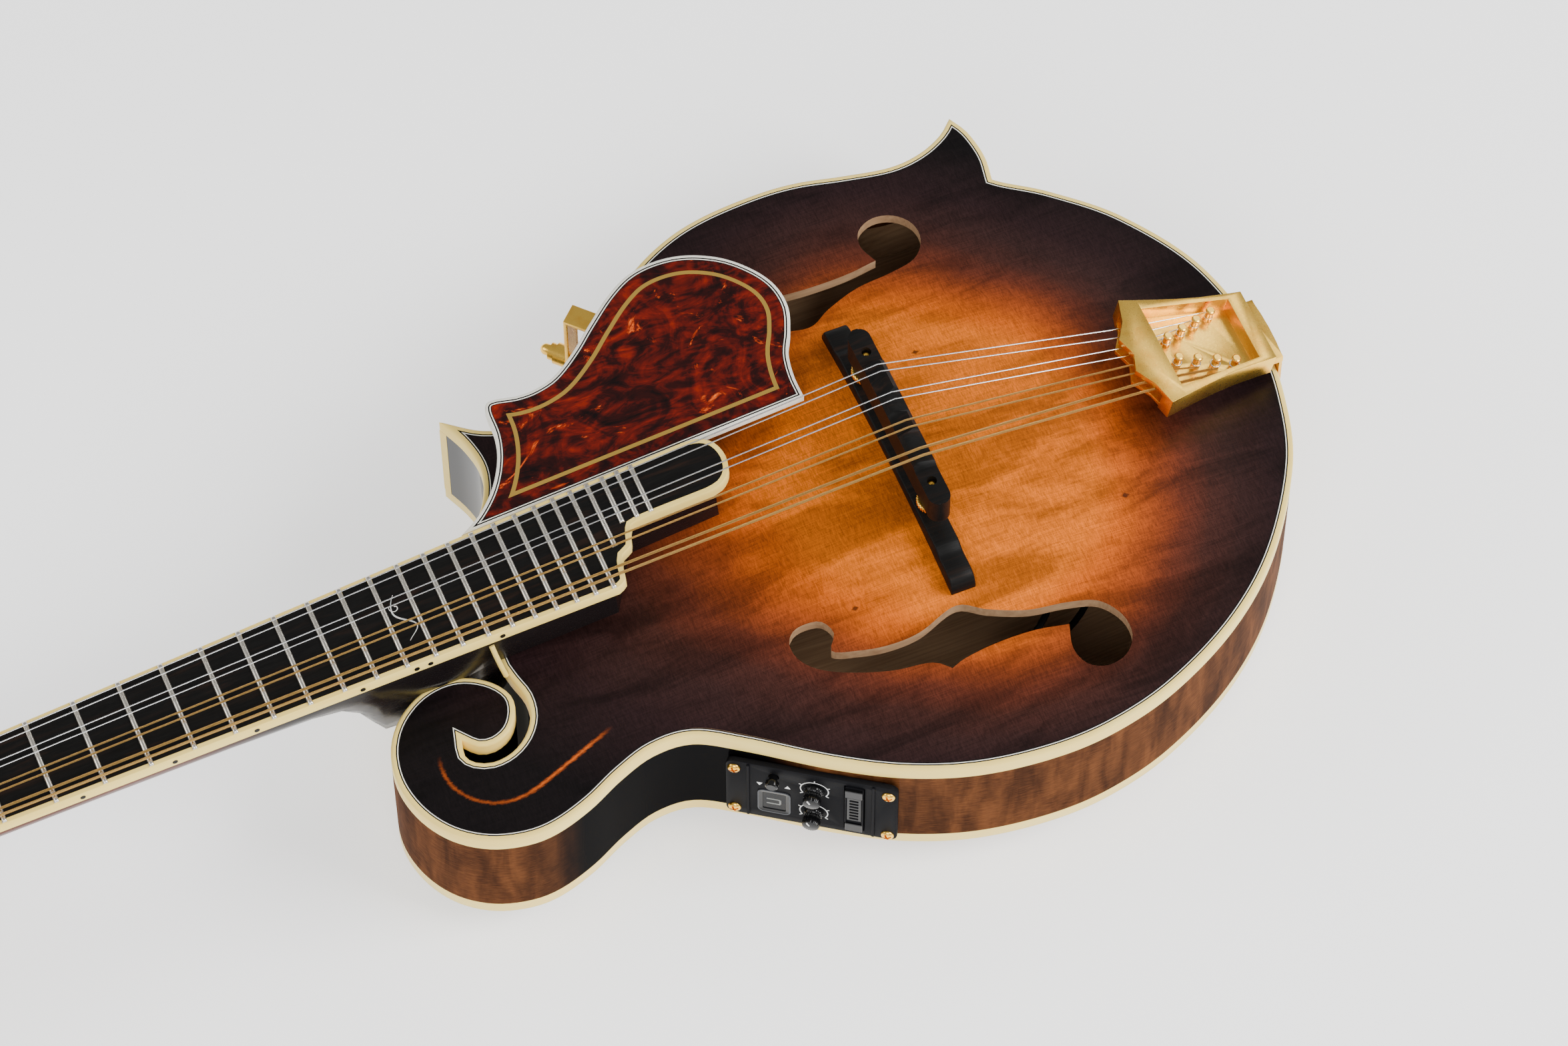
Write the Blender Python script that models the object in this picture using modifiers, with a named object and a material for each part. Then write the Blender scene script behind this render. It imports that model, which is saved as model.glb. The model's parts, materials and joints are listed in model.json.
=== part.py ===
"""F-style electro-acoustic mandolin, piece by piece, as it comes apart on a luthier's bench.

World axes: +X towards the treble side, +Y towards the headstock, +Z out of the soundboard.
The world origin is under the middle of the instrument, level with the lowest point of the back.
Lengths in this file are millimetres in the maker's own layout: x from the string centreline,
y from the nut (negative towards the tail) and z from the soundboard's edge. MM makes them metres.
"""

import math

import bmesh
import bpy
from mathutils import Matrix, Vector

MM = 0.001

# Driving dimensions
SCALE_LENGTH = 350.0
FRET_COUNT = 24
GAP = 0.3
RIM_DEPTH = 51.0
RIM_WALL = 2.5
PLATE_EDGE = 5.0
PLATE_THICKNESS = 4.5
BINDING_WIDTH = 3.0
BINDING_HEIGHT = 6.0
ARCH_RISE = 13.0
ARCH_CENTRE_Y = -355.0
ARCH_REACH_SIDE = 106.0
ARCH_REACH_TAIL = 122.0
ARCH_REACH_NECK = 142.0
NECK_JOINT_Y = -197.5
HEEL_LEVEL = -28.4

BOARD_TILT = math.radians(4.67)
BOARD_HEIGHT_AT_NUT = 8.7
BOARD_THICKNESS = 4.5
BOARD_WIDTH_AT_NUT = 33.0
BOARD_WIDTH_AT_LAST_FRET = 44.0
BOARD_BINDING = 1.8
FRET_WIDTH = 2.0
FRET_HEIGHT = 0.9

HEAD_TILT = math.radians(14.0)
HEAD_ORIGIN_Y = 4.8
HEAD_ORIGIN_Z = 3.6
HEAD_THICKNESS = 14.0
POST_OFFSET = 18.5
POST_POSITIONS = (38.0, 61.0, 84.0, 107.0)
POST_RADIUS = 3.0
GEAR_TEETH = 14
GEAR_RADIUS = 5.5
WORM_RADIUS = 2.4
WORM_THREADS = 3
WORM_PITCH = 2.6
WORM_OFFSET = GEAR_RADIUS + WORM_RADIUS + 0.25
GEAR_LEVEL = -HEAD_THICKNESS - 4.6

BRIDGE_Y = -353.0
BRIDGE_BASE_LENGTH = 114.3
BRIDGE_BASE_DEPTH = 9.0
BRIDGE_BASE_TOP = 17.5
BRIDGE_POST_OFFSET = 28.5
SADDLE_BOTTOM = 26.0
SADDLE_LENGTH = 77.0
WHEEL_RADIUS = 5.2
WHEEL_THICKNESS = 2.2
STRING_HEIGHT_AT_SADDLE = 41.1
STRING_HEIGHT_AT_NUT = 10.3
NUT_BREAK_Y = 2.4

TAIL_TILT = math.radians(-11.5)
TAIL_FRONT_Y = -443.0
TAIL_FRONT_Z = 23.0
TAIL_HEIGHT = 9.0
TAIL_EDGE_Y = -494.0

GUARD_TOP = 23.0
GUARD_THICKNESS = 2.8

PANEL_CENTRE = (-92.7, -282.0, -26.0)
PANEL_ALONG = Vector((-0.569, -0.823, 0.0)).normalized()
PANEL_LENGTH = 60.0
PANEL_HEIGHT = 35.4
PANEL_CORNER = 3.0

CLAMP_FOOT = (89.6, -272.1, -9.0)
CLAMP_OUTWARD = Vector((0.727, 0.686, 0.0)).normalized()

BODY_LEFT = -122.6
POINT_TIP_X = 132.0
JACK_END_Y = -497.2
HEAD_END_Y = 181.0
WORLD_SHIFT = (-(BODY_LEFT + POINT_TIP_X) / 2, -(JACK_END_Y + HEAD_END_Y) / 2, RIM_DEPTH + ARCH_RISE)

# Plan of the body's outer edge; a third value marks a knot that stays a sharp corner.
BODY_KNOTS = (
    (-1, -494), (38, -487.5), (68.7, -470.3), (88.3, -451), (98.8, -436.9), (101.5, -433.8, True),
    (112, -435.4), (124, -433.9), (132, -430.2, True), (126.5, -424), (122, -414), (120.6, -402),
    (123.6, -385), (127.4, -368), (128.4, -352), (126.8, -331), (122.5, -315), (114, -299),
    (101, -283.5), (84, -266), (73.5, -250), (70.5, -237), (73, -226), (82.3, -213.4, True),
    (70, -218.2), (58, -219.6), (46, -215.6), (35, -207), (26, -197.5, True), (-19.5, -197.5, True),
    (-25, -198.5), (-33, -200.3), (-41, -199), (-47.5, -194.5), (-51.6, -188), (-52.6, -181),
    (-50.4, -175.5), (-46.5, -173), (-40.5, -174.2, True), (-45, -178.3), (-46.2, -184),
    (-43.5, -190.6), (-37.4, -195), (-30.5, -196), (-23.5, -192), (-18, -184), (-16.6, -175),
    (-19.3, -165), (-26.5, -155.6), (-36.5, -149.8), (-49, -148), (-62, -151), (-73, -158),
    (-80.7, -168.5), (-84.3, -181), (-84, -192), (-79.8, -205.6), (-73.2, -219.5), (-68.8, -233),
    (-69.6, -247), (-79, -262.3), (-97.3, -287.2), (-110, -308.7), (-118.6, -332), (-122.4, -358),
    (-121.5, -381), (-115, -406.6), (-100.3, -436), (-80.4, -460), (-52, -480.8), (-28.5, -490),
)

# Plan of the fingerboard: x, and the distance from the nut.
BOARD_KNOTS = (
    (22.3, 283), (21.3, 288.3), (17.6, 292.4), (11.2, 294), (4.9, 292.4), (1.2, 288.3), (0.2, 283),
    (0.2, 256.5), (-1.4, 253.5), (-8, 251), (-10, 247.2), (-14.5, 245.4), (-19.5, 244.4),
    (-21.4, 241),
)

GUARD_KNOTS = (
    (22, -199.6, True), (27, -207.6), (35, -215.6), (45, -221.6), (55, -224.6), (65.5, -225.2),
    (68.8, -227), (69, -230.6), (67.5, -237.6), (67.6, -244.6), (70, -252.6), (77, -262.6),
    (85, -271.6), (94, -282.6), (99.5, -292.6), (101, -303.6), (99, -314.6), (93, -325.6),
    (84, -334), (75, -338.4), (65, -339), (55, -335.6), (47, -331.6), (38, -329.8),
    (28.5, -329.6, True),
)

HEAD_KNOTS = (
    (15.6, -1, True), (17.0, 9), (21.5, 17), (28, 27), (31.2, 42), (30.6, 75), (29, 108),
    (30, 124), (34.5, 137), (41, 143, True), (33.5, 151), (26, 159), (16, 162.5), (7.5, 158),
    (2, 155, True), (-5, 162), (-12, 174), (-22, 180), (-32.5, 176), (-37.5, 165), (-35, 154),
    (-28.5, 150, True), (-30.5, 138), (-29.3, 124), (-29, 108), (-30.6, 75), (-31.2, 42),
    (-28, 27), (-21.5, 17), (-17.0, 9), (-15.6, -1, True),
)

F_HOLE_KNOTS = (
    (-47.5, -298), (-49, -303.5), (-54.5, -305.8), (-60, -302.5), (-63.2, -310), (-65.6, -321),
    (-65.4, -333), (-61, -348.5), (-66, -358), (-71, -371), (-73, -385), (-76, -395.5),
    (-83.5, -401.3), (-91.5, -401.5), (-97.6, -396.5), (-99.3, -389), (-96, -382.5),
    (-89, -380.2), (-80.6, -382.5, True), (-78.6, -370), (-78.4, -356), (-79.6, -344),
    (-81.3, -338.5, True), (-77, -333), (-74.5, -319), (-69.5, -305), (-64, -295.5),
    (-58, -290.8), (-52, -290.2), (-48.4, -293),
)

TAIL_KNOTS = (
    (23, -4, True), (19.8, -17), (16.6, -33), (15, -49, True), (-15, -49, True), (-16.6, -33),
    (-19.8, -17), (-23, -4, True), (-14, -1.5), (-7, 3, True), (0, 0.5), (7, 3, True), (14, -1.5),
)

STRINGS = (
    ("g", 0.5, -12.6, -18.5, -12.0),
    ("d", 0.35, -4.2, -6.2, -3.8),
    ("a", 0.25, 4.2, 6.2, 3.8),
    ("e", 0.25, 12.6, 18.5, 12.0),
)
PAIR_AT_NUT = 2.4
PAIR_AT_SADDLE = 3.0
PAIR_AT_TAIL = 3.6

for old in list(bpy.data.objects):
    bpy.data.objects.remove(old, do_unlink=True)

PARTS = bpy.data.collections.new("mandolin")
CUTTERS = bpy.data.collections.new("mandolin_cutters")
bpy.context.scene.collection.children.link(PARTS)
bpy.context.scene.collection.children.link(CUTTERS)


# Materials

def finish(name, colour, roughness, metallic=0.0):
    material = bpy.data.materials.new(name)
    material.use_nodes = True
    shader = material.node_tree.nodes["Principled BSDF"]
    shader.inputs["Base Color"].default_value = (*colour, 1.0)
    shader.inputs["Roughness"].default_value = roughness
    shader.inputs["Metallic"].default_value = metallic
    material.diffuse_color = (*colour, 1.0)
    return material


SPRUCE = finish("sunburst_spruce", (0.42, 0.16, 0.04), 0.35)
MAPLE = finish("stained_maple", (0.16, 0.06, 0.03), 0.35)
RAW_WOOD = finish("raw_wood", (0.55, 0.42, 0.28), 0.7)
LACQUER = finish("dark_lacquered_maple", (0.03, 0.02, 0.018), 0.3)
IVOROID = finish("ivoroid", (0.86, 0.77, 0.5), 0.35)
EBONY = finish("ebony", (0.018, 0.016, 0.015), 0.45)
BONE = finish("bone", (0.85, 0.82, 0.72), 0.4)
GOLD = finish("gold_plate", (0.83, 0.6, 0.22), 0.25, 1.0)
STEEL = finish("plain_steel", (0.75, 0.75, 0.76), 0.25, 1.0)
BRONZE = finish("wound_bronze", (0.78, 0.55, 0.28), 0.35, 1.0)
TORTOISE = finish("tortoiseshell", (0.12, 0.02, 0.015), 0.2)
PLASTIC = finish("black_plastic", (0.02, 0.02, 0.022), 0.45)
PEARL = finish("pearl_button", (0.85, 0.83, 0.78), 0.3)


# Frames that pieces are laid out in

def add_frame(name, location, rotation, parent):
    frame = bpy.data.objects.new(name, None)
    PARTS.objects.link(frame)
    frame.parent = parent
    frame.matrix_local = Matrix.Translation(Vector(location) * MM) @ rotation.to_4x4()
    return frame


def axes(x_axis, y_axis):
    x_axis = Vector(x_axis).normalized()
    y_axis = Vector(y_axis).normalized()
    return Matrix((x_axis, y_axis, x_axis.cross(y_axis))).transposed()


UNTURNED = Matrix.Identity(3)
LAYOUT = add_frame("layout_frame", WORLD_SHIFT, UNTURNED, None)
BOARD = add_frame("board_frame", (0, 0, BOARD_HEIGHT_AT_NUT), Matrix.Rotation(-BOARD_TILT, 3, "X"), LAYOUT)
HEAD = add_frame("head_frame", (0, HEAD_ORIGIN_Y, HEAD_ORIGIN_Z), Matrix.Rotation(-HEAD_TILT, 3, "X"), LAYOUT)
TAIL = add_frame("tail_frame", (0, TAIL_FRONT_Y, TAIL_FRONT_Z), Matrix.Rotation(-TAIL_TILT, 3, "X"), LAYOUT)
PANEL = add_frame("panel_frame", PANEL_CENTRE, axes(PANEL_ALONG, (0, 0, 1)), LAYOUT)
CLAMP = add_frame("clamp_frame", CLAMP_FOOT, axes((0, 0, 1), CLAMP_OUTWARD.cross(Vector((0, 0, 1)))), LAYOUT)
JACK = add_frame("jack_frame", (0, TAIL_EDGE_Y, -25.0), axes((1, 0, 0), (0, 0, 1)), LAYOUT)


# Mesh helpers

def as_part(name, mesh, material, frame, smooth=40.0):
    """A part whose mesh is in metres in its frame."""
    part = bpy.data.objects.new(name, mesh)
    PARTS.objects.link(part)
    part.parent = frame
    mesh.materials.clear()
    mesh.materials.append(material)
    mesh.shade_smooth()
    mesh.set_sharp_from_angle(angle=math.radians(smooth))
    return part


def as_cutter(name, mesh, frame):
    cutter = bpy.data.objects.new(name, mesh)
    CUTTERS.objects.link(cutter)
    cutter.parent = frame
    cutter.hide_render = True
    cutter.display_type = "WIRE"
    return cutter


def combine(part, cutter, operation):
    step = part.modifiers.new(cutter.name, "BOOLEAN")
    step.object = cutter
    step.operation = operation
    step.solver = "EXACT"


def from_bmesh(name, shape):
    mesh = bpy.data.meshes.new(name)
    bmesh.ops.recalc_face_normals(shape, faces=shape.faces)
    shape.to_mesh(mesh)
    shape.free()
    return mesh


def box(name, low, high, columns=0):
    """A box between two corners, with cuts across X where it has to bend."""
    shape = bmesh.new()
    bmesh.ops.create_cube(shape, size=1.0)
    size = Vector(high) - Vector(low)
    middle = (Vector(high) + Vector(low)) / 2
    if columns:
        along_x = [e for e in shape.edges if abs(e.verts[0].co.x - e.verts[1].co.x) > 0.5]
        bmesh.ops.subdivide_edges(shape, edges=along_x, cuts=columns, use_grid_fill=True)
    for vert in shape.verts:
        vert.co = (Vector(map(lambda a, b: a * b, vert.co, size)) + middle) * MM
    return from_bmesh(name, shape)


def cylinder(name, radius, low, high, axis="Z", centre=(0.0, 0.0), sides=16):
    """A cylinder along an axis, from low to high, at centre in the other two axes."""
    shape = bmesh.new()
    bmesh.ops.create_cone(shape, cap_ends=True, segments=sides, radius1=radius * MM,
                          radius2=radius * MM, depth=(high - low) * MM)
    middle = (low + high) / 2
    if axis == "X":
        turn = Matrix.Rotation(math.pi / 2, 4, "Y")
        place = Vector((middle, centre[0], centre[1]))
    elif axis == "Y":
        turn = Matrix.Rotation(-math.pi / 2, 4, "X")
        place = Vector((centre[0], middle, centre[1]))
    else:
        turn = Matrix.Identity(4)
        place = Vector((centre[0], centre[1], middle))
    bmesh.ops.transform(shape, matrix=Matrix.Translation(place * MM) @ turn, verts=shape.verts)
    return from_bmesh(name, shape)


def merged(name, meshes):
    """Several meshes in one, still as separate bodies."""
    shape = bmesh.new()
    for mesh in meshes:
        shape.from_mesh(mesh)
        bpy.data.meshes.remove(mesh)
    mesh = bpy.data.meshes.new(name)
    shape.to_mesh(mesh)
    shape.free()
    return mesh


def smooth_line(knots, step):
    """A closed line through the knots, about step apart, keeping the marked corners sharp."""
    count = len(knots)
    points = [Vector(k[:2]) for k in knots]
    corner = [len(k) > 2 for k in knots]
    line = []
    for i in range(count):
        before, here, there, after = (points[(i + k) % count] for k in (-1, 0, 1, 2))
        span = (there - here).length ** 0.5
        span_before = (here - before).length ** 0.5
        span_after = (after - there).length ** 0.5
        chord = there - here
        slope_here = chord if corner[i] else (there - before) * span / (span + span_before)
        slope_there = chord if corner[(i + 1) % count] else (after - here) * span / (span + span_after)
        straight = corner[i] and corner[(i + 1) % count]
        pieces = 1 if straight else max(1, round(chord.length / step))
        for k in range(pieces):
            t = k / pieces
            line.append((2 * t**3 - 3 * t**2 + 1) * here + (t**3 - 2 * t**2 + t) * slope_here
                        + (3 * t**2 - 2 * t**3) * there + (t**3 - t**2) * slope_there)
    return line


def line_distance(point, line):
    nearest = math.inf
    for i in range(len(line)):
        start = line[i - 1]
        edge = line[i] - start
        along = max(0.0, min(1.0, (point - start).dot(edge) / max(edge.length_squared, 1e-9)))
        nearest = min(nearest, (point - start - edge * along).length)
    return nearest


def inset(line, distance):
    """The line moved inwards (it runs anticlockwise), with mitred corners and no fold-overs."""
    moved = []
    for i, point in enumerate(line):
        back = (point - line[i - 1]).normalized()
        ahead = (line[(i + 1) % len(line)] - point).normalized()
        normal_back = Vector((-back.y, back.x))
        normal_ahead = Vector((-ahead.y, ahead.x))
        mitre = (normal_back + normal_ahead) / max(0.12, 1.0 + normal_back.dot(normal_ahead))
        candidate = point + mitre * distance
        if line_distance(candidate, line) > abs(distance) * 0.97:
            moved.append(candidate)
    return moved


def sheet(name, loops, low, high):
    """A flat piece between two heights: a filled outline, and holes where there is more than one."""
    curve = bpy.data.curves.new(name, "CURVE")
    curve.dimensions = "2D"
    curve.fill_mode = "BOTH"
    curve.extrude = (high - low) / 2 * MM
    for loop in loops:
        spline = curve.splines.new("POLY")
        spline.points.add(len(loop) - 1)
        for point, co in zip(spline.points, loop):
            point.co = (co[0] * MM, co[1] * MM, 0.0, 1.0)
        spline.use_cyclic_u = True
    shape = mesh_of_curve(name, curve)
    bmesh.ops.translate(shape, verts=shape.verts, vec=(0, 0, (low + high) / 2 * MM))
    return from_bmesh(name, shape)


def mesh_of_curve(name, curve):
    """The curve's surface with its caps welded on, as an editable mesh."""
    holder = bpy.data.objects.new(name, curve)
    bpy.context.scene.collection.objects.link(holder)
    bpy.context.view_layer.update()
    surface = bpy.data.meshes.new_from_object(holder.evaluated_get(bpy.context.evaluated_depsgraph_get()))
    shape = bmesh.new()
    shape.from_mesh(surface)
    bmesh.ops.remove_doubles(shape, verts=shape.verts, dist=0.00001)
    bpy.data.objects.remove(holder, do_unlink=True)
    bpy.data.curves.remove(curve)
    bpy.data.meshes.remove(surface)
    return shape


def tube(name, points, radius, resolution=1):
    """A round wire through the points."""
    curve = bpy.data.curves.new(name, "CURVE")
    curve.dimensions = "3D"
    curve.bevel_depth = radius * MM
    curve.bevel_resolution = resolution
    curve.use_fill_caps = True
    spline = curve.splines.new("POLY")
    spline.points.add(len(points) - 1)
    for point, co in zip(spline.points, points):
        point.co = (co[0] * MM, co[1] * MM, co[2] * MM, 1.0)
    return from_bmesh(name, mesh_of_curve(name, curve))


def turned(name, profile, steps=16):
    """A piece turned about Z; the profile (radius, height) runs down the outside from the top."""
    mesh = bpy.data.meshes.new(name)
    points = [(radius * MM, 0.0, height * MM) for radius, height in profile]
    mesh.from_pydata(points, [(i, i + 1) for i in range(len(points) - 1)], [])
    holder = bpy.data.objects.new(name, mesh)
    bpy.context.scene.collection.objects.link(holder)
    screw = holder.modifiers.new("turn", "SCREW")
    screw.steps = steps
    screw.render_steps = steps
    screw.use_merge_vertices = True
    screw.merge_threshold = 0.000001
    bpy.context.view_layer.update()
    surface = bpy.data.meshes.new_from_object(holder.evaluated_get(bpy.context.evaluated_depsgraph_get()))
    shape = bmesh.new()
    shape.from_mesh(surface)
    bmesh.ops.remove_doubles(shape, verts=shape.verts, dist=0.000001)
    bpy.data.objects.remove(holder, do_unlink=True)
    bpy.data.meshes.remove(surface)
    bpy.data.meshes.remove(mesh)
    return from_bmesh(name, shape)


def turn_mesh(mesh, matrix):
    mesh.transform(matrix)
    return mesh


# Shapes that several pieces follow

def arch(x, y):
    """Height of the carved arch over the flat edge of the top, or below that of the back."""
    reach = ARCH_REACH_TAIL if y < ARCH_CENTRE_Y else ARCH_REACH_NECK
    spread = (x / ARCH_REACH_SIDE) ** 2 + ((y - ARCH_CENTRE_Y) / reach) ** 2
    return ARCH_RISE * max(0.0, 1.0 - spread) ** 1.5


def fret_distance(number):
    return SCALE_LENGTH * (1.0 - 2.0 ** (-number / 12.0))


def board_half_width(distance):
    share = distance / fret_distance(FRET_COUNT)
    return (BOARD_WIDTH_AT_NUT + (BOARD_WIDTH_AT_LAST_FRET - BOARD_WIDTH_AT_NUT) * share) / 2


def in_layout(frame, point):
    """A point given in one of the frames, in the maker's layout."""
    return frame.matrix_local @ (Vector(point) * MM) / MM


BODY_LINE = smooth_line(BODY_KNOTS, 9.0)
RIM_INSIDE = inset(BODY_LINE, RIM_WALL)
BINDING_INSIDE = inset(BODY_LINE, BINDING_WIDTH)
PLATE_LINE = inset(BODY_LINE, BINDING_WIDTH + GAP)
F_HOLE_LINE = smooth_line(F_HOLE_KNOTS, 6.0)


# Body

def carved_plate(name, direction, material, holes):
    """The top (direction 1) or back (direction -1): an arched shell trimmed to the binding."""
    shape = bmesh.new()
    columns = 17
    rows = 24
    bmesh.ops.create_grid(shape, x_segments=columns, y_segments=rows, size=0.5)
    for vert in shape.verts:
        x = 4.0 + vert.co.x * 270.0
        y = -321.0 + vert.co.y * 366.0
        vert.co = Vector((x, y, direction * arch(x, y))) * MM
    mesh = bpy.data.meshes.new(name)
    if direction < 0:
        bmesh.ops.reverse_faces(shape, faces=shape.faces)
        bmesh.ops.translate(shape, verts=shape.verts, vec=(0, 0, -RIM_DEPTH * MM))
    shape.to_mesh(mesh)
    shape.free()
    plate = as_part(name, mesh, material, LAYOUT)
    shell = plate.modifiers.new("thickness", "SOLIDIFY")
    shell.thickness = PLATE_THICKNESS * MM
    shell.offset = -1.0
    trim = as_cutter(name + "_trim", sheet(name + "_trim", [PLATE_LINE], -90.0, 40.0), LAYOUT)
    combine(plate, trim, "INTERSECT")
    for hole in holes:
        combine(plate, hole, "DIFFERENCE")
    return plate


def body_box():
    bass_hole = as_cutter("bass_f_hole", sheet("bass_f_hole", [F_HOLE_LINE], -20.0, 30.0), LAYOUT)
    mirrored = [Vector((-p.x + 3.0, p.y + 2.0)) for p in reversed(F_HOLE_LINE)]
    treble_hole = as_cutter("treble_f_hole", sheet("treble_f_hole", [mirrored], -20.0, 30.0), LAYOUT)
    carved_plate("soundboard", 1, SPRUCE, (bass_hole, treble_hole))
    carved_plate("back_plate", -1, MAPLE, ())

    for name, low in (("top_binding", -BINDING_HEIGHT), ("back_binding", -RIM_DEPTH)):
        ring = sheet(name, [BODY_LINE, BINDING_INSIDE], low, low + BINDING_HEIGHT)
        as_part(name, ring, IVOROID, LAYOUT)

    wall = sheet("rim", [BODY_LINE, RIM_INSIDE], -RIM_DEPTH + BINDING_HEIGHT + GAP, -BINDING_HEIGHT - GAP)
    rim = as_part("rim", wall, MAPLE, LAYOUT)
    preamp_opening = as_cutter("preamp_opening", box("preamp_opening", (-25, -16, -30), (25, 16, 6)), PANEL)
    combine(rim, preamp_opening, "DIFFERENCE")
    jack_hole = as_cutter("jack_hole", cylinder("jack_hole", 6.3, -30, 6), JACK)
    combine(rim, jack_hole, "DIFFERENCE")

    block_low = -RIM_DEPTH + PLATE_EDGE + GAP
    block_high = -PLATE_EDGE - GAP
    for name, low, high in (("head_block", (-100, -224, -60), (100, -140, 10)),
                            ("tail_block", (-32, -500, -60), (32, -474, 10))):
        block = as_part(name, sheet(name, [PLATE_LINE], block_low, block_high), RAW_WOOD, LAYOUT)
        keep = as_cutter(name + "_extent", box(name + "_extent", low, high), LAYOUT)
        combine(block, keep, "INTERSECT")
        if name == "tail_block":
            combine(block, jack_hole, "DIFFERENCE")

    for name, offset in (("bass_tone_bar", -21.0), ("treble_tone_bar", 21.0)):
        bar = box(name, (0, -3.0, 0), (180, 3.0, 1), columns=8)
        bar.transform(Matrix.Rotation(-math.pi / 2, 4, "Z"))
        bar.transform(Matrix.Translation(Vector((offset, -248, 0)) * MM))
        for vert in bar.vertices:
            x = vert.co.x / MM
            y = vert.co.y / MM
            ceiling = arch(x, y) - PLATE_THICKNESS - 2 * GAP
            depth = 1.5 + 9.0 * math.sin(math.pi * (-248 - y) / 180)
            vert.co.z = (ceiling if vert.co.z > 0.5 * MM else ceiling - depth) * MM
        as_part(name, bar, RAW_WOOD, LAYOUT)


# Neck

def neck_sections():
    """Distance from the nut, half width at the board, half width of the flat below, and depth."""
    return ((-5, 16.4, 0.5, 17.0), (0, 16.4, 0.5, 17.6), (50, 17.2, 0.5, 18.6), (100, 18.2, 0.5, 20.0),
            (129, 18.9, 0.8, 22.5), (139, 19.1, 2.0, 26.5), (145, 19.3, 5.0, 33.0),
            (149, 19.4, 8.0, 42.0), (152.5, 19.5, 9.5, 49.1), (166, 19.5, 10.0, 50.4), (197.5, 18.6, 10.5, 53.0))


def neck_loft():
    shape = bmesh.new()
    under = -BOARD_THICKNESS - GAP
    quarter = 6
    rings = []
    for distance, top, flat, depth in neck_sections():
        side = []
        for k in range(quarter + 1):
            angle = math.pi / 2 * k / quarter
            side.append((flat + (top - flat) * math.cos(angle), under + (under + depth) * -math.sin(angle)))
        ring = side + [(-x, z) for x, z in reversed(side)]
        # The last section stands square to the body, and the board's frame is tilted to it.
        lean = math.tan(BOARD_TILT) if distance > -NECK_JOINT_Y - 1 else 0.0
        rings.append([shape.verts.new(Vector((x, -distance - z * lean, z)) * MM) for x, z in ring])
    for near, far in zip(rings, rings[1:]):
        for i in range(len(near)):
            shape.faces.new((near[i - 1], near[i], far[i], far[i - 1]))
    shape.faces.new(rings[0])
    shape.faces.new(rings[-1])
    bmesh.ops.triangulate(shape, faces=shape.faces)
    return from_bmesh("neck", shape)


def neck():
    part = as_part("neck", neck_loft(), LACQUER, BOARD)
    head = as_cutter("headstock", sheet("headstock", [smooth_line(HEAD_KNOTS, 9.0)], -HEAD_THICKNESS, 0.0), HEAD)
    combine(part, head, "UNION")
    below = -BOARD_THICKNESS - GAP
    riser_line = [Vector((-18.4, -190)), Vector((-18.4, -240)), Vector((1.5, -252)), Vector((2.5, -286)),
                  Vector((19.8, -286)), Vector((18.4, -190))]
    riser = as_cutter("board_riser", sheet("board_riser", [riser_line], below - 16.6, below - 0.2), BOARD)
    combine(part, riser, "UNION")
    scroll_room = [Vector(p) for p in ((-17.6, -185), (-16.0, -175), (-18.7, -164.6), (-26, -154), (-40, -154),
                                       (-40, -188), (-20.6, -188))]
    beside_scroll = as_cutter("scroll_room", sheet("scroll_room", [scroll_room], -60, GAP), LAYOUT)
    combine(part, beside_scroll, "DIFFERENCE")
    rod_channel = box("rod_channel", (-3.3, -186, below - 8.2), (3.3, 9, 6))
    combine(part, as_cutter("rod_channel", rod_channel, BOARD), "DIFFERENCE")
    pocket = as_cutter("rod_pocket", box("rod_pocket", (-4.5, -1, -8.5), (4.5, 15, 6)), HEAD)
    combine(part, pocket, "DIFFERENCE")
    holes = [cylinder("post_hole", POST_RADIUS + 0.4, -HEAD_THICKNESS - 2, 2, centre=(side * POST_OFFSET, along),
                      sides=12) for side in (-1, 1) for along in POST_POSITIONS]
    combine(part, as_cutter("post_holes", merged("post_holes", holes), HEAD), "DIFFERENCE")

    bar = cylinder("truss_rod", 2.4, -183, 4, axis="Y", centre=(0, below - 4.2), sides=10)
    rod = as_part("truss_rod", bar, STEEL, BOARD)
    six_sided = cylinder("rod_nut", 3.1, 1.5, 9.5, axis="Y", centre=(0, below - 4.2), sides=6)
    combine(rod, as_cutter("rod_nut", six_sided, BOARD), "UNION")
    cover_knots = ((6.5, 1.5, True), (7.5, 9), (6.0, 17), (7.5, 24), (4, 29.5), (0, 33, True), (-4, 29.5),
                   (-7.5, 24), (-6.0, 17), (-7.5, 9), (-6.5, 1.5, True))
    cover = sheet("truss_rod_cover", [smooth_line(cover_knots, 5.0)], GAP, GAP + 2.0)
    as_part("truss_rod_cover", cover, EBONY, HEAD)

    profile = [Vector(p) for p in ((0.3, 4.2), (4.5, 4.2), (4.5, 8.7), (2.2, 9.45), (0.3, 9.45))]
    nut = sheet("nut", [profile], -BOARD_WIDTH_AT_NUT / 2, BOARD_WIDTH_AT_NUT / 2)
    as_part("nut", turn_mesh(nut, axes((0, 1, 0), (0, 0, 1)).to_4x4()), BONE, LAYOUT)

    cap_knots = ((10.4, -196.8, True), (10.0, -172), (9.4, -161), (6.8, -156.8), (0, -155), (-6.8, -156.8),
                 (-9.4, -161), (-10.0, -172), (-10.4, -196.8, True))
    cap = sheet("heel_cap", [smooth_line(cap_knots, 6.0)], HEEL_LEVEL - GAP - 2.4, HEEL_LEVEL - GAP)
    as_part("heel_cap", cap, IVOROID, LAYOUT)


# Fingerboard

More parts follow.
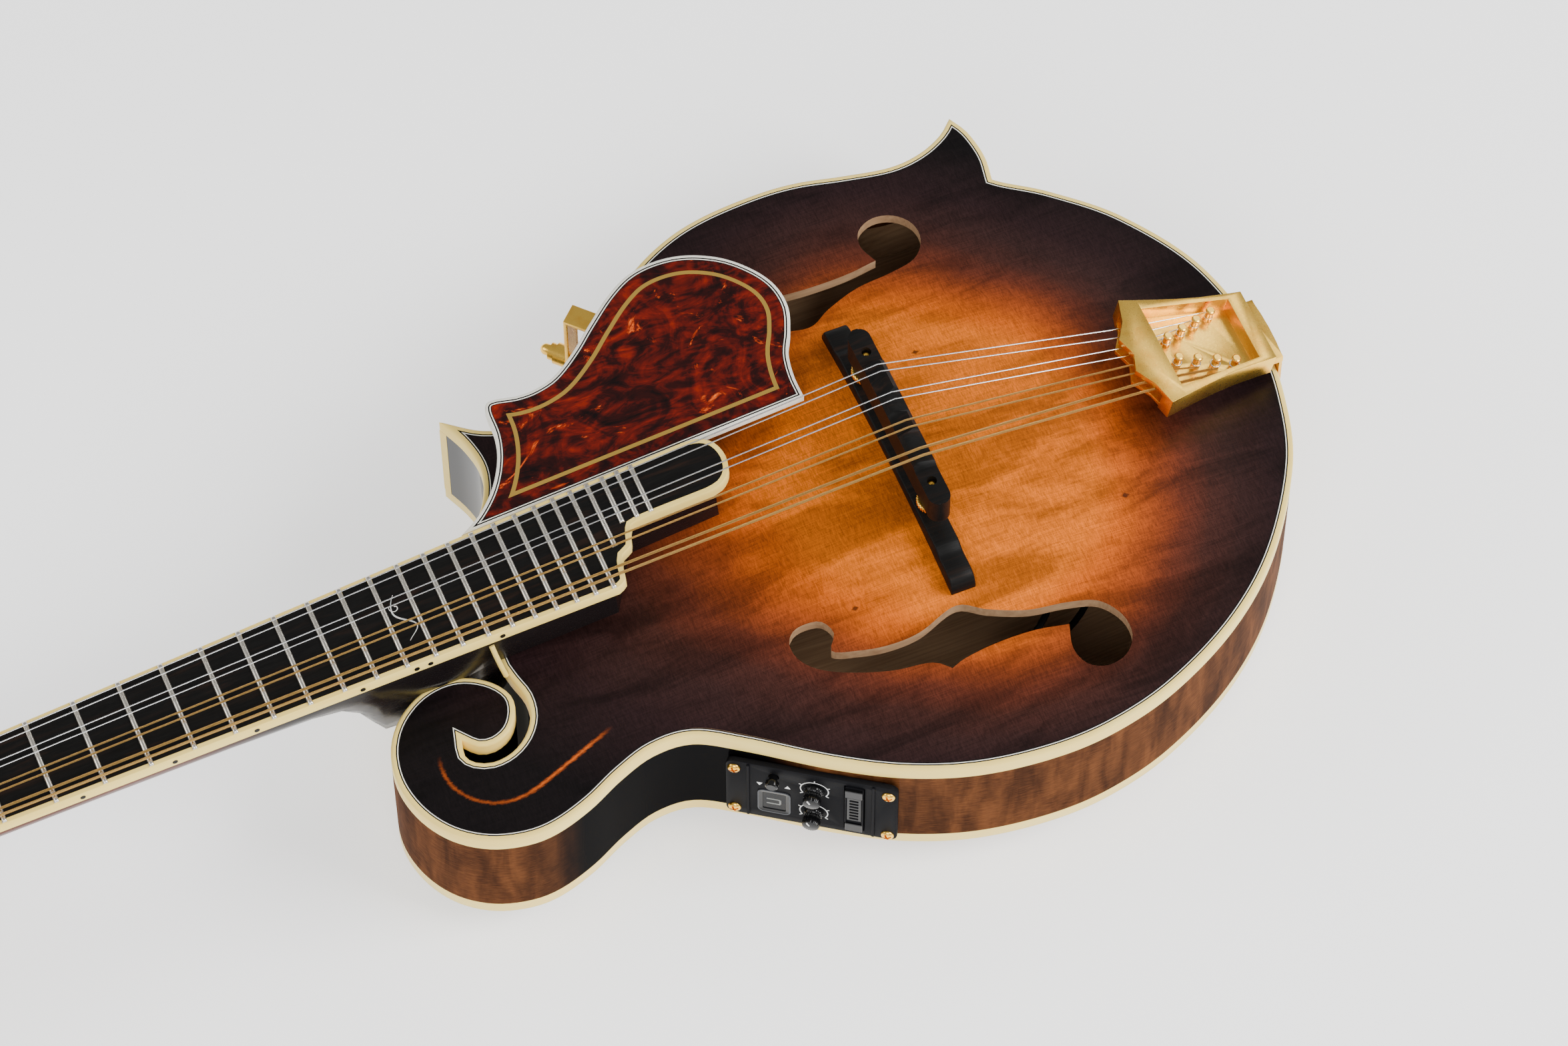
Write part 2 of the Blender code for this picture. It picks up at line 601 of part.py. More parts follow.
def fingerboard():
    end = -GAP
    far = [Vector((x, -s)) for x, s in BOARD_KNOTS]
    outer = [Vector((board_half_width(0), end))] + far + [Vector((-board_half_width(0), end))]
    outer = outer[::-1]
    reaching_past_nut = [Vector((p.x, p.y + (6 if p.y > -1 else 0))) for p in outer]
    inner = [Vector((p.x, min(p.y, end))) for p in inset(reaching_past_nut, BOARD_BINDING)]
    band = outer + inner[::-1]
    as_part("fingerboard_binding", sheet("fingerboard_binding", [band], -BOARD_THICKNESS, 0.0), IVOROID, BOARD)
    wood_line = [Vector((p.x, min(p.y, end))) for p in inset(reaching_past_nut, BOARD_BINDING + GAP)]
    board = as_part("fingerboard", sheet("fingerboard", [wood_line], -BOARD_THICKNESS, 0.0), EBONY, BOARD)
    frets = []
    for number in range(1, FRET_COUNT + 1):
        distance = fret_distance(number)
        right = board_half_width(distance) - BOARD_BINDING - 2 * GAP
        left = -right
        if number == 21:
            left = -6.0
        elif number > 21:
            left = 2.8
        frets.append(box("fret", (left, -distance - FRET_WIDTH / 2, -1.0),
                         (right, -distance + FRET_WIDTH / 2, FRET_HEIGHT)))
    combine(board, as_cutter("frets", merged("frets", frets), BOARD), "UNION")


# Bridge

def bridge():
    half = BRIDGE_BASE_LENGTH / 2
    depth = BRIDGE_BASE_DEPTH / 2
    base = box("bridge_base", (-half, BRIDGE_Y - depth, 0), (half, BRIDGE_Y + depth, BRIDGE_BASE_TOP), columns=18)
    for vert in base.vertices:
        x = vert.co.x / MM
        if vert.co.z < MM:
            vert.co.z = (arch(x, BRIDGE_Y) + GAP) * MM
        elif abs(x) > half - 7:
            vert.co.z -= 2.0 * MM
    base = as_part("bridge_base", base, EBONY, LAYOUT)

    front = BRIDGE_Y + 4.0
    back = BRIDGE_Y - 4.0
    profile = [Vector(p) for p in ((back, SADDLE_BOTTOM), (front, SADDLE_BOTTOM), (front, 39.4), (front - 2.5, 40.3),
                                   (back + 3.0, 40.2), (back, 38.7))]
    bar = sheet("bridge_saddle", [profile], -SADDLE_LENGTH / 2, SADDLE_LENGTH / 2)
    bar.transform(axes((0, 1, 0), (0, 0, 1)).to_4x4())
    saddle = as_part("bridge_saddle", bar, EBONY, LAYOUT)
    ends = [box("end", (side * 31 - 7.5, back - 1, 37.6), (side * 31 + 7.6, front + 1, 45)) for side in (-1, 1)]
    combine(saddle, as_cutter("saddle_ends", merged("saddle_ends", ends), LAYOUT), "DIFFERENCE")

    holes = []
    for side, name in ((-1, "bass"), (1, "treble")):
        x = side * BRIDGE_POST_OFFSET
        holes.append(cylinder("hole", 2.1, 13.6, 60, centre=(x, BRIDGE_Y), sides=12))
        post = cylinder(name, 1.7, 13.9, 36.5, centre=(x, BRIDGE_Y), sides=12)
        as_part(name + "_bridge_post", post, GOLD, LAYOUT)
        wheel_foot = (x, BRIDGE_Y, SADDLE_BOTTOM - GAP - WHEEL_THICKNESS)
        pivot = add_frame(name + "_wheel_axis", wheel_foot, UNTURNED, LAYOUT)
        profile = [(1.9, WHEEL_THICKNESS), (WHEEL_RADIUS, WHEEL_THICKNESS), (WHEEL_RADIUS, 0.0), (1.9, 0.0),
                   (1.9, WHEEL_THICKNESS)]
        as_part(name + "_thumbwheel", turned(name, profile, 20), GOLD, pivot)
    drill = as_cutter("bridge_post_holes", merged("bridge_post_holes", holes), LAYOUT)
    combine(base, drill, "DIFFERENCE")
    combine(saddle, drill, "DIFFERENCE")


# Tailpiece, end jack and strings

def tail_pegs():
    """Where the string loops hook on, row by row: bass outer to inner, then treble."""
    return [(side * (4.6 + 2.1 * k), -15.5 - 6.6 * k) for side in (-1, 1) for k in range(4)]


def tailpiece():
    casting = sheet("tailpiece", [smooth_line(TAIL_KNOTS, 7.0)[::-1]], -TAIL_HEIGHT, 0.0)
    part = as_part("tailpiece", casting, GOLD, TAIL)
    recess_line = [Vector(p) for p in ((-17.5, -10.5), (-13.2, -43), (13.2, -43), (17.5, -10.5))]
    combine(part, as_cutter("tail_recess", sheet("tail_recess", [recess_line], -6.4, 4.0), TAIL), "DIFFERENCE")
    mouth = as_cutter("tail_mouth", box("tail_mouth", (-18, -11, -6.4), (18, 9, -2.2)), TAIL)
    combine(part, mouth, "DIFFERENCE")
    hollow = [Vector(p) for p in ((-19, 9), (-14, -44), (14, -44), (19, 9))]
    combine(part, as_cutter("tail_hollow", sheet("tail_hollow", [hollow], -14.0, -7.9), TAIL), "DIFFERENCE")
    pegs = [cylinder("peg", 1.3, -7.0, -1.6, centre=place, sides=10) for place in tail_pegs()]
    combine(part, as_cutter("tail_pegs", merged("tail_pegs", pegs), TAIL), "UNION")
    strap_line = [Vector((x, TAIL_EDGE_Y - GAP + 0.0045 * x * x)) for x in (-13, -6.5, 0, 6.5, 13)]
    strap_line += [Vector((p.x, p.y - 1.2)) for p in reversed(strap_line)]
    strap = as_cutter("tail_strap", sheet("tail_strap", [strap_line[::-1]], -13.0, 8.5), LAYOUT)
    combine(part, strap, "UNION")
    joint = as_cutter("tail_joint", box("tail_joint", (-13, TAIL_EDGE_Y - 0.9, 5.4), (13, -486.0, 8.5)), LAYOUT)
    combine(part, joint, "UNION")


def end_jack():
    outside = TAIL_EDGE_Y - JACK_END_Y
    profile = [(0, -outside), (6.5, -outside), (7.0, -2.8), (7.0, -2.2), (9.5, -2.0), (9.5, -1.4), (5.9, -1.4),
               (5.9, 24), (4.0, 24), (4.0, 40), (0, 40)]
    body = turned("output_jack", [(radius, -height) for radius, height in profile], 16)
    jack = as_part("output_jack", body, GOLD, JACK)
    socket = as_cutter("jack_socket", cylinder("jack_socket", 3.2, -20, 20, sides=12), JACK)
    combine(jack, socket, "DIFFERENCE")
    start = in_layout(JACK, (0, 0, -36))
    route = smooth_route([start, start + Vector((0, 14, 0)), Vector((-30, -425, -30)), Vector((-62, -395, -31)),
                          Vector((-72, -360, -30)), Vector((-73, -325, -29)), Vector((-72, -308, -30)),
                          in_layout(PANEL, (12, 2, -27.2))], 15)
    combine(jack, as_cutter("jack_lead", tube("jack_lead", route, 1.2), LAYOUT), "UNION")


def smooth_route(points, count):
    """A soft line through a few points in space."""
    line = []
    spans = len(points) - 1
    for k in range(count + 1):
        place = min(k / count * spans, spans - 1e-6)
        i = int(place)
        t = place - i
        before = points[max(i - 1, 0)]
        after = points[min(i + 2, spans)]
        here = points[i]
        there = points[i + 1]
        line.append(0.5 * (2 * here + (there - before) * t + (2 * before - 5 * here + 4 * there - after) * t * t
                           + (3 * here - before - 3 * there + after) * t**3))
    return line


def pickup():
    x = 36.0
    under = arch(x, BRIDGE_Y) - PLATE_THICKNESS - 2.4
    disc = as_part("pickup", cylinder("pickup", 7.5, under - 2.0, under, centre=(x, BRIDGE_Y)), PLASTIC, LAYOUT)
    route = smooth_route([Vector((x, BRIDGE_Y, under - 1)), Vector((30, -352, -14)), Vector((0, -366, -24)),
                          Vector((-40, -392, -25)), Vector((-66, -378, -24)), Vector((-76, -345, -20)),
                          Vector((-70, -318, -20)), in_layout(PANEL, (2, 9, -27.2))], 15)
    combine(disc, as_cutter("pickup_lead", tube("pickup_lead", route, 1.2), LAYOUT), "UNION")


def strings():
    pegs = tail_pegs()
    for course, (note, radius, at_nut, at_saddle, at_tail) in enumerate(STRINGS):
        bass = at_nut < 0
        for which in (0, 1):
            outer_first = which if bass else 1 - which
            spread = (which - 0.5) * 1.0
            slot = (0 if abs(at_nut) > 8 else 2) + outer_first
            centre_x = -POST_OFFSET if bass else POST_OFFSET
            turn = 1.0 if bass else -1.0
            wrap = POST_RADIUS + GAP + radius
            points = []
            for k in range(11):
                angle = math.radians(450 - 45 * k)
                level = 5.5 + 0.26 * k
                points.append(in_layout(HEAD, (centre_x + turn * wrap * math.cos(angle),
                                               POST_POSITIONS[slot] + wrap * math.sin(angle), level)))
            points.append(Vector((at_nut + spread * PAIR_AT_NUT, NUT_BREAK_Y, STRING_HEIGHT_AT_NUT)))
            points.append(Vector((at_saddle + spread * PAIR_AT_SADDLE, BRIDGE_Y - 0.5, STRING_HEIGHT_AT_SADDLE)))
            tail_x = at_tail + spread * PAIR_AT_TAIL
            points.append(in_layout(TAIL, (tail_x, 2.0, -3.6)))
            hook = pegs[peg_order(course, which)]
            lean = 1.3 + GAP + radius
            points.append(in_layout(TAIL, (hook[0] + math.copysign(lean, hook[0]), hook[1], -4.6)))
            name = f"{note}_string_{which + 1}"
            finish_used = BRONZE if note in "gd" else STEEL
            as_part(name, tube(name, points, radius), finish_used, LAYOUT)


def peg_order(course, which):
    """The outer strings hook on the far pegs and the inner ones on the near pegs."""
    if course < 2:
        return 3 - course * 2 - which
    return 4 + (course - 2) * 2 + which


# Tuners

def gear_line():
    line = []
    for k in range(GEAR_TEETH * 2):
        angle = math.pi * k / GEAR_TEETH
        radius = GEAR_RADIUS if k % 2 == 0 else GEAR_RADIUS - 1.1
        line.append(Vector((radius * math.cos(angle), radius * math.sin(angle))))
    return line


def string_post_mesh():
    low = GEAR_LEVEL - 1.6
    profile = [(0, 12.5), (2.4, 12.5), (POST_RADIUS, 11.5), (POST_RADIUS, low + 1.0), (0, low + 1.0)]
    post = turned("string_post", profile, 10)
    holder = as_part("string_post_core", post, GOLD, HEAD)
    gear = as_cutter("post_gear", sheet("post_gear", [gear_line()], low, low + 3.2), HEAD)
    combine(holder, gear, "UNION")
    return settle(holder, gear)


def tuner_button_mesh():
    """Worm, shaft and button along +X, the shaft's axis through the origin."""
    profile = [(0, 23.5), (1.5, 23.5), (1.5, 2.4)]
    for k in range(WORM_THREADS):
        crest = 1.2 - WORM_PITCH * k
        profile += [(WORM_RADIUS, crest), (1.6, crest - WORM_PITCH / 2)]
    profile += [(1.5, -8.6), (0, -8.6)]
    shaft = turned("tuner_shaft", profile, 8)
    shaft.transform(Matrix.Rotation(math.pi / 2, 4, "Y"))
    holder = as_part("tuner_button_core", shaft, PEARL, HEAD)
    knob = bmesh.new()
    bmesh.ops.create_uvsphere(knob, u_segments=10, v_segments=6, radius=1.0)
    for vert in knob.verts:
        vert.co = Vector((vert.co.x * 6.5 + 25.5, vert.co.y * 8.2, vert.co.z * 3.6)) * MM
    button = as_cutter("tuner_knob", from_bmesh("tuner_knob", knob), HEAD)
    combine(holder, button, "UNION")
    return settle(holder, button)


def settle(holder, tool):
    """The finished mesh of a built-up piece, which its copies share."""
    bpy.context.view_layer.update()
    mesh = bpy.data.meshes.new_from_object(holder.evaluated_get(bpy.context.evaluated_depsgraph_get()))
    bpy.data.objects.remove(holder, do_unlink=True)
    bpy.data.objects.remove(tool, do_unlink=True)
    return mesh


def tuners():
    post_mesh = string_post_mesh()
    button_mesh = tuner_button_mesh()
    for side, name in ((-1, "bass"), (1, "treble")):
        plate = box(name, (side * 20.5 - 8.5, 27, -HEAD_THICKNESS - 1.8),
                    (side * 20.5 + 8.5, 125, -HEAD_THICKNESS - GAP))
        plate = as_part(name + "_tuner_plate", plate, GOLD, HEAD)
        lugs = []
        drills = []
        for along in POST_POSITIONS:
            worm = along + WORM_OFFSET
            for place in (-7.6, 4.4):
                middle = side * (20.5 + place)
                lugs.append(box("lug", (middle - 0.7, worm - 2.6, GEAR_LEVEL - 2.6),
                                (middle + 0.7, worm + 2.6, -HEAD_THICKNESS - 1.0)))
            drills.append(cylinder("shaft_way", 1.8, -14, 14, axis="X", centre=(0, 0), sides=8))
            drills[-1].transform(Matrix.Translation(Vector((side * 20.5, worm, GEAR_LEVEL)) * MM))
            drills.append(cylinder("post_way", POST_RADIUS + 0.4, -30, 0, centre=(side * POST_OFFSET, along), sides=10))
        combine(plate, as_cutter(name + "_lugs", merged(name + "_lugs", lugs), HEAD), "UNION")
        combine(plate, as_cutter(name + "_ways", merged(name + "_ways", drills), HEAD), "DIFFERENCE")
        for number, along in enumerate(POST_POSITIONS, 1):
            pivot = add_frame(f"{name}_post_axis_{number}", (side * POST_OFFSET, along, 0), UNTURNED, HEAD)
            as_part(f"{name}_string_post_{number}", post_mesh.copy(), GOLD, pivot)
            turn = UNTURNED if side > 0 else Matrix.Rotation(math.pi, 3, "Z")
            axle_place = (side * 20.5, along + WORM_OFFSET, GEAR_LEVEL)
            axle = add_frame(f"{name}_button_axis_{number}", axle_place, turn, HEAD)
            as_part(f"{name}_tuner_button_{number}", button_mesh.copy(), PEARL, axle)


# Pickguard

def pickguard():
    guard = sheet("pickguard", [smooth_line(GUARD_KNOTS, 7.0)], GUARD_TOP - GUARD_THICKNESS, GUARD_TOP)
    as_part("pickguard", guard, TORTOISE, LAYOUT)
    leg_top = GUARD_TOP - GUARD_THICKNESS - GAP - CLAMP_FOOT[2]
    strip = box("pickguard_bracket", (-6.5, -4.0, 5.2), (leg_top, 4.0, 6.8))
    bracket = as_part("pickguard_bracket", strip, GOLD, CLAMP)
    arm = as_cutter("bracket_arm", box("bracket_arm", (leg_top - 1.6, -4.0, -17.0), (leg_top, 4.0, 6.8)), CLAMP)
    combine(bracket, arm, "UNION")
    combine(bracket, as_cutter("bracket_hole", cylinder("bracket_hole", 2.3, 0, 12, sides=12), CLAMP), "DIFFERENCE")
    profile = [(0, 18.2), (1.3, 17.8), (2.1, 16.6), (2.3, 14.4), (3.2, 14.4), (3.2, 12.2), (4.0, 12.2), (4.0, 7.1),
               (2.0, 7.1), (2.0, 2.0), (4.5, 2.0), (4.5, 0.4), (0, 0.4)]
    as_part("pickguard_clamp", turned("pickguard_clamp", profile, 12), GOLD, CLAMP)


# Preamp in the bass side

def preamp():
    along = PANEL_LENGTH / 2 - PANEL_CORNER
    across = PANEL_HEIGHT / 2 - PANEL_CORNER
    plate_line = []
    for x, y, start in ((along, -across, -90), (along, across, 0), (-along, across, 90), (-along, -across, 180)):
        for k in range(4):
            angle = math.radians(start + 30 * k)
            plate_line.append(Vector((x, y)) + Vector((math.cos(angle), math.sin(angle))) * PANEL_CORNER)
    panel = as_part("preamp_housing", sheet("preamp_housing", [plate_line], 1.1, 3.0), PLASTIC, PANEL)
    case = as_cutter("preamp_case", box("preamp_case", (-24, -15.5, -26), (24, 15.5, 2.0)), PANEL)
    combine(panel, case, "UNION")
    drills = [box("tray_bay", (11.4, -15.0, -24.5), (18.6, 14.6, 6)),
              box("display", (-18.6, -13.0, 2.2), (-7.6, 1.2, 6))]
    controls = {"volume_knob": (1.0, 7.4), "tone_knob": (0.8, -7.8), "tuner_button": (-13.2, 11.4)}
    for place in controls.values():
        drills.append(cylinder("shaft_hole", 1.9, -4.0, 6, centre=place, sides=12))
    combine(panel, as_cutter("preamp_cuts", merged("preamp_cuts", drills), PANEL), "DIFFERENCE")
    knob_profile = [(0, 9.2), (2.7, 9.2), (3.1, 8.6), (3.3, 4.6), (3.6, 3.4), (1.5, 3.4), (1.5, -3.4), (0, -3.4)]
    small_profile = [(0, 7.4), (2.0, 7.4), (2.3, 6.9), (2.4, 5.2), (1.5, 5.2), (1.5, -2.0), (0, -2.0)]
    for name, (x, y) in controls.items():
        axis = add_frame(name + "_axis", (x, y, 0), UNTURNED, PANEL)
        profile = small_profile if name == "tuner_button" else knob_profile
        as_part(name, turned(name, profile, 14), PLASTIC, axis)
    tray = as_part("battery_tray", box("battery_tray", (11.8, -14.6, -24.0), (18.2, 14.2, 3.6)), PLASTIC, PANEL)
    cell = cylinder("cell_bay", 10.4, 12.8, 30.0, axis="X", centre=(0, -11.0), sides=24)
    combine(tray, as_cutter("cell_bay", cell, PANEL), "DIFFERENCE")
    battery = cylinder("battery", 10.0, 13.1, 17.9, axis="X", centre=(0, -11.0), sides=24)
    as_part("battery", battery, STEEL, PANEL)


body_box()
neck()
fingerboard()
bridge()
tailpiece()
end_jack()
pickup()
tuners()
strings()
pickguard()
preamp()
bpy.context.view_layer.update()
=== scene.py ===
"""Scroll-bodied electro-acoustic mandolin, dressed piece by piece in the order it is put together.

Lengths are millimetres in the maker's own layout: x from the string centreline towards the
treble side, y from the nut and negative towards the tail, z up from the edge of the top.
"""

import json
import math

import bmesh
import bpy
from mathutils import Matrix, Vector
from mathutils.geometry import intersect_line_line_2d

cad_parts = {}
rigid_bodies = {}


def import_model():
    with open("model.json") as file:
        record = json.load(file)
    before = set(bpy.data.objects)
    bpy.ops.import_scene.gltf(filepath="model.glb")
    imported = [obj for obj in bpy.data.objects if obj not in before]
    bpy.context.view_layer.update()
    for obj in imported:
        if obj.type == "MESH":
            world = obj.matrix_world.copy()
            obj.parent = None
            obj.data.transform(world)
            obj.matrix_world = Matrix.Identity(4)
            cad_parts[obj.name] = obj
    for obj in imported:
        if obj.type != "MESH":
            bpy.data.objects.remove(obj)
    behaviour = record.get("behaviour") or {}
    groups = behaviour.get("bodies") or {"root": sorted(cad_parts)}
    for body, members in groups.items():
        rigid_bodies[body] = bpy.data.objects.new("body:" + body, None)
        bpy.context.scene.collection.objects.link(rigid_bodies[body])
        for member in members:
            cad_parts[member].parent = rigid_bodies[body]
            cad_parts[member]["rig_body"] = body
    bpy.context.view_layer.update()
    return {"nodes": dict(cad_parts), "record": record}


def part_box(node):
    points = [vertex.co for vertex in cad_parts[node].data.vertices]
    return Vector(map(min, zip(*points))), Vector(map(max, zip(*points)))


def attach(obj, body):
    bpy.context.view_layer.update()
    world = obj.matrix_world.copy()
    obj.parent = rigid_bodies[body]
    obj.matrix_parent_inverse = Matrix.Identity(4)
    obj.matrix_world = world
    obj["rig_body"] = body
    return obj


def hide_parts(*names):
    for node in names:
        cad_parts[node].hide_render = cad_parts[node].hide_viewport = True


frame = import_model()

# The bench layout.
# Every piece is marked out from the nut's front edge and the upper edge of the top's binding,
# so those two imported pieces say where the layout's zero lies in the frame.
MM = 0.001
nut_low, nut_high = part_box("nut")
zero = Vector(((nut_low.x + nut_high.x) / 2, nut_low.y - 0.3 * MM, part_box("top_binding")[1].z))
LAYOUT = Matrix.Translation(zero) @ Matrix.Scale(MM, 4)


def bench(origin, x_axis, y_axis):
    """A work position: its origin in the layout, and which way its own x and y run."""
    x_axis = Vector(x_axis).normalized()
    y_axis = Vector(y_axis).normalized()
    turn = Matrix((x_axis, y_axis, x_axis.cross(y_axis))).transposed().to_4x4()
    return LAYOUT @ Matrix.Translation(origin) @ turn


def dye(red, green, blue):
    """A colour given by its screen values."""
    return (*(((c / 255 + 0.055) / 1.055) ** 2.4 for c in (red, green, blue)), 1.0)


class Value:
    """A number that varies over a surface; sums written on it add Math nodes."""

    def __init__(self, finish, socket):
        self.finish = finish
        self.socket = socket

    def maths(self, operation, *inputs):
        return self.finish.node("Math", {"operation": operation}, dict(enumerate(inputs)))

    def __add__(self, other):
        return self.maths("ADD", self, other)

    def __sub__(self, other):
        return self.maths("SUBTRACT", self, other)

    def __rsub__(self, other):
        return self.maths("SUBTRACT", other, self)

    def __mul__(self, other):
        return self.maths("MULTIPLY", self, other)

    def __truediv__(self, other):
        return self.maths("DIVIDE", self, other)

    def __pow__(self, other):
        return self.maths("POWER", self, other)

    def __abs__(self):
        return self.maths("ABSOLUTE", self)

    __radd__ = __add__
    __rmul__ = __mul__


class Finish:
    """A finish being mixed: a material, and node() to add any node to it."""

    def __init__(self, name, colour, roughness, metallic=0.0, coat=0.0, sheen=0.2):
        self.material = bpy.data.materials.new(name)
        self.material.use_nodes = True
        self.tree = self.material.node_tree
        self.shader = self.tree.nodes["Principled BSDF"].inputs
        self.shader["Base Color"].default_value = colour
        self.shader["Roughness"].default_value = roughness
        self.shader["Metallic"].default_value = metallic
        self.shader["Coat Weight"].default_value = coat
        self.shader["Coat Roughness"].default_value = 0.12
        self.shader["Specular IOR Level"].default_value = sheen
        self.colour = colour

    def node(self, kind, settings=None, inputs=None, output=0):
        """Adds a node: its type, its settings, and the values or links of its sockets."""
        made = self.tree.nodes.new("ShaderNode" + kind)
        for setting, value in (settings or {}).items():
            if setting == "stops":
                while len(made.color_ramp.elements) < len(value):
                    made.color_ramp.elements.new(1.0)
                for stop, (place, colour) in zip(made.color_ramp.elements, value):
                    stop.position = place
                    stop.color = colour
            else:
                setattr(made, setting, value)
        for name, value in (inputs or {}).items():
            if isinstance(value, Value):
                self.tree.links.new(value.socket, made.inputs[name])
            else:
                made.inputs[name].default_value = value
        return Value(self, made.outputs[output])

    def feed(self, socket, value):
        self.tree.links.new(value.socket, self.shader[socket])

    def place(self, stretch=(1.0, 1.0, 1.0)):
        """The spot on the surface in layout millimetres, each way multiplied by stretch."""
        scale = [s / MM for s in stretch]
        shift = [-z * s for z, s in zip(zero, scale)]
        here = self.node("TexCoord", {}, {}, "Object")
        return self.node("Mapping", {}, {"Vector": here, "Location": shift, "Scale": scale})

    def noise(self, stretch, detail=2.0, roughness=0.5, distortion=0.0):
        """Soft random figure from 0 to 1, with stretch features to the millimetre."""
        return self.node("TexNoise", {}, {"Vector": self.place(stretch), "Scale": 1.0, "Detail": detail,
                                          "Roughness": roughness, "Distortion": distortion})

    def ease(self, value, start, end, low=0.0, high=1.0):
        """Value carried smoothly from start..end to low..high, and held beyond them."""
        return self.node("MapRange", {"interpolation_type": "SMOOTHSTEP"},
                         {0: value, 1: start, 2: end, 3: low, 4: high})

    def mix(self, share, first, second):
        return self.node("Mix", {"data_type": "RGBA"}, {0: share, 6: first, 7: second}, 2)

    def tone(self, share, colour):
        """The colour darkened or lightened by a share of 1."""
        grey = self.node("CombineXYZ", {}, {0: share, 1: share, 2: share})
        return self.node("VectorMath", {"operation": "MULTIPLY"}, {0: colour, 1: grey})

    def bump(self, height, depth):
        """Relief of that depth in millimetres."""
        inputs = {"Strength": 1.0, "Distance": depth * MM, "Height": height}
        self.feed("Normal", self.node("Bump", {}, inputs))


def place_mesh(name, shape, work):
    """A mesh in the frame's metres from a shape in a work position's millimetres."""
    bmesh.ops.remove_doubles(shape, verts=shape.verts, dist=0.0004)
    bmesh.ops.recalc_face_normals(shape, faces=shape.faces)
    mesh = bpy.data.meshes.new(name)
    shape.to_mesh(mesh)
    shape.free()
    mesh.transform(work)
    return mesh


def piece(name, mesh, finish, slot, body="instrument", nodes=(), rounded=0.0, crease=35.0):
    """Puts a piece in the scene: its edges eased or kept crisp, riding on its body."""
    made = bpy.data.objects.new(name, mesh)
    bpy.context.scene.collection.objects.link(made)
    mesh.materials.clear()
    mesh.materials.append(finish.material)
    mesh.shade_smooth()
    if rounded:
        edge = made.modifiers.new("eased_edges", "BEVEL")
        edge.width = rounded * MM
        edge.segments = 2
        edge.limit_method = "ANGLE"
        edge.angle_limit = math.radians(crease)
        edge.harden_normals = True
    else:
        mesh.set_sharp_from_angle(angle=math.radians(crease))
    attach(made, body)
    if nodes:
        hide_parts(*nodes)
    return made


def slot_of(node):
    return next(part["material_slot"] for part in frame["record"]["subparts"] if part["node"] == node)


def dressed(node, finish, rounded=0.25, crease=35.0):
    """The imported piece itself, its faceted skin welded smooth and its edges eased."""
    shape = bmesh.new()
    shape.from_mesh(frame["nodes"][node].data)
    bmesh.ops.remove_doubles(shape, verts=shape.verts, dist=0.000002)
    bmesh.ops.dissolve_limit(shape, angle_limit=math.radians(0.5), verts=shape.verts, edges=shape.edges)
    mesh = bpy.data.meshes.new(node + "_skin")
    shape.to_mesh(mesh)
    shape.free()
    body = frame["nodes"][node]["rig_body"]
    return piece(node + "_dressed", mesh, finish, slot_of(node), body, (node,), rounded, crease)


# Blocks and tone bars.
# Unfinished spruce blocks the neck and the output jack are fixed to, and the two bars glued along
# the underside of the top. They show only as pale wood through the f-holes.
raw_wood = Finish("raw_wood", dye(176, 138, 100), 0.75)
growth_lines = raw_wood.noise((1.3, 0.02, 0.4), 3.0)
raw_wood.feed("Base Color", raw_wood.mix(growth_lines, dye(196, 160, 122), dye(128, 92, 64)))
raw_wood.bump(growth_lines, 0.06)

for node in ("head_block", "tail_block", "bass_tone_bar", "treble_tone_bar"):
    dressed(node, raw_wood, 0.4)

# Rim.
# Thin flamed-maple ribs bent round the scroll, the two points and the bouts, stained red-brown
# and shaded to black at the waist and beside the neck, with kerfed lining strips glued inside.
HORN_TIP = (82.3, -213.4)
POINT_TIP = (132.0, -430.2)
BODY_KNOTS = (
    (-1, -494), (38, -487.5), (68.7, -470.3), (88.3, -451), (98.8, -436.9), (101.5, -433.8, True),
    (112, -435.4), (124, -433.9), (*POINT_TIP, True), (126.5, -424), (122, -414), (120.6, -402),
    (123.6, -385), (127.4, -368), (128.4, -352), (126.8, -331), (122.5, -315), (114, -299),
    (101, -283.5), (84, -266), (73.5, -250), (70.5, -237), (73, -226), (*HORN_TIP, True),
    (70, -218.2), (58, -219.6), (46, -215.6), (35, -207), (26, -197.5, True), (-19.5, -197.5, True),
    (-25, -198.5), (-33, -200.3), (-41, -199), (-47.5, -194.5), (-51.6, -188), (-52.6, -181),
    (-50.4, -175.5), (-46.5, -173), (-40.5, -174.2, True), (-45, -178.3), (-46.2, -184),
    (-43.5, -190.6), (-37.4, -195), (-30.5, -196), (-23.5, -192), (-18, -184), (-16.6, -175),
    (-19.3, -165), (-26.5, -155.6), (-36.5, -149.8), (-49, -148), (-62, -151), (-73, -158),
    (-80.7, -168.5), (-84.3, -181), (-84, -192), (-79.8, -205.6), (-73.2, -219.5), (-68.8, -233),
    (-69.6, -247), (-79, -262.3), (-97.3, -287.2), (-110, -308.7), (-118.6, -332), (-122.4, -358),
    (-121.5, -381), (-115, -406.6), (-100.3, -436), (-80.4, -460), (-52, -480.8), (-28.5, -490),
)
RIM_DEPTH = 51.0
BINDING_HEIGHT = 6.0


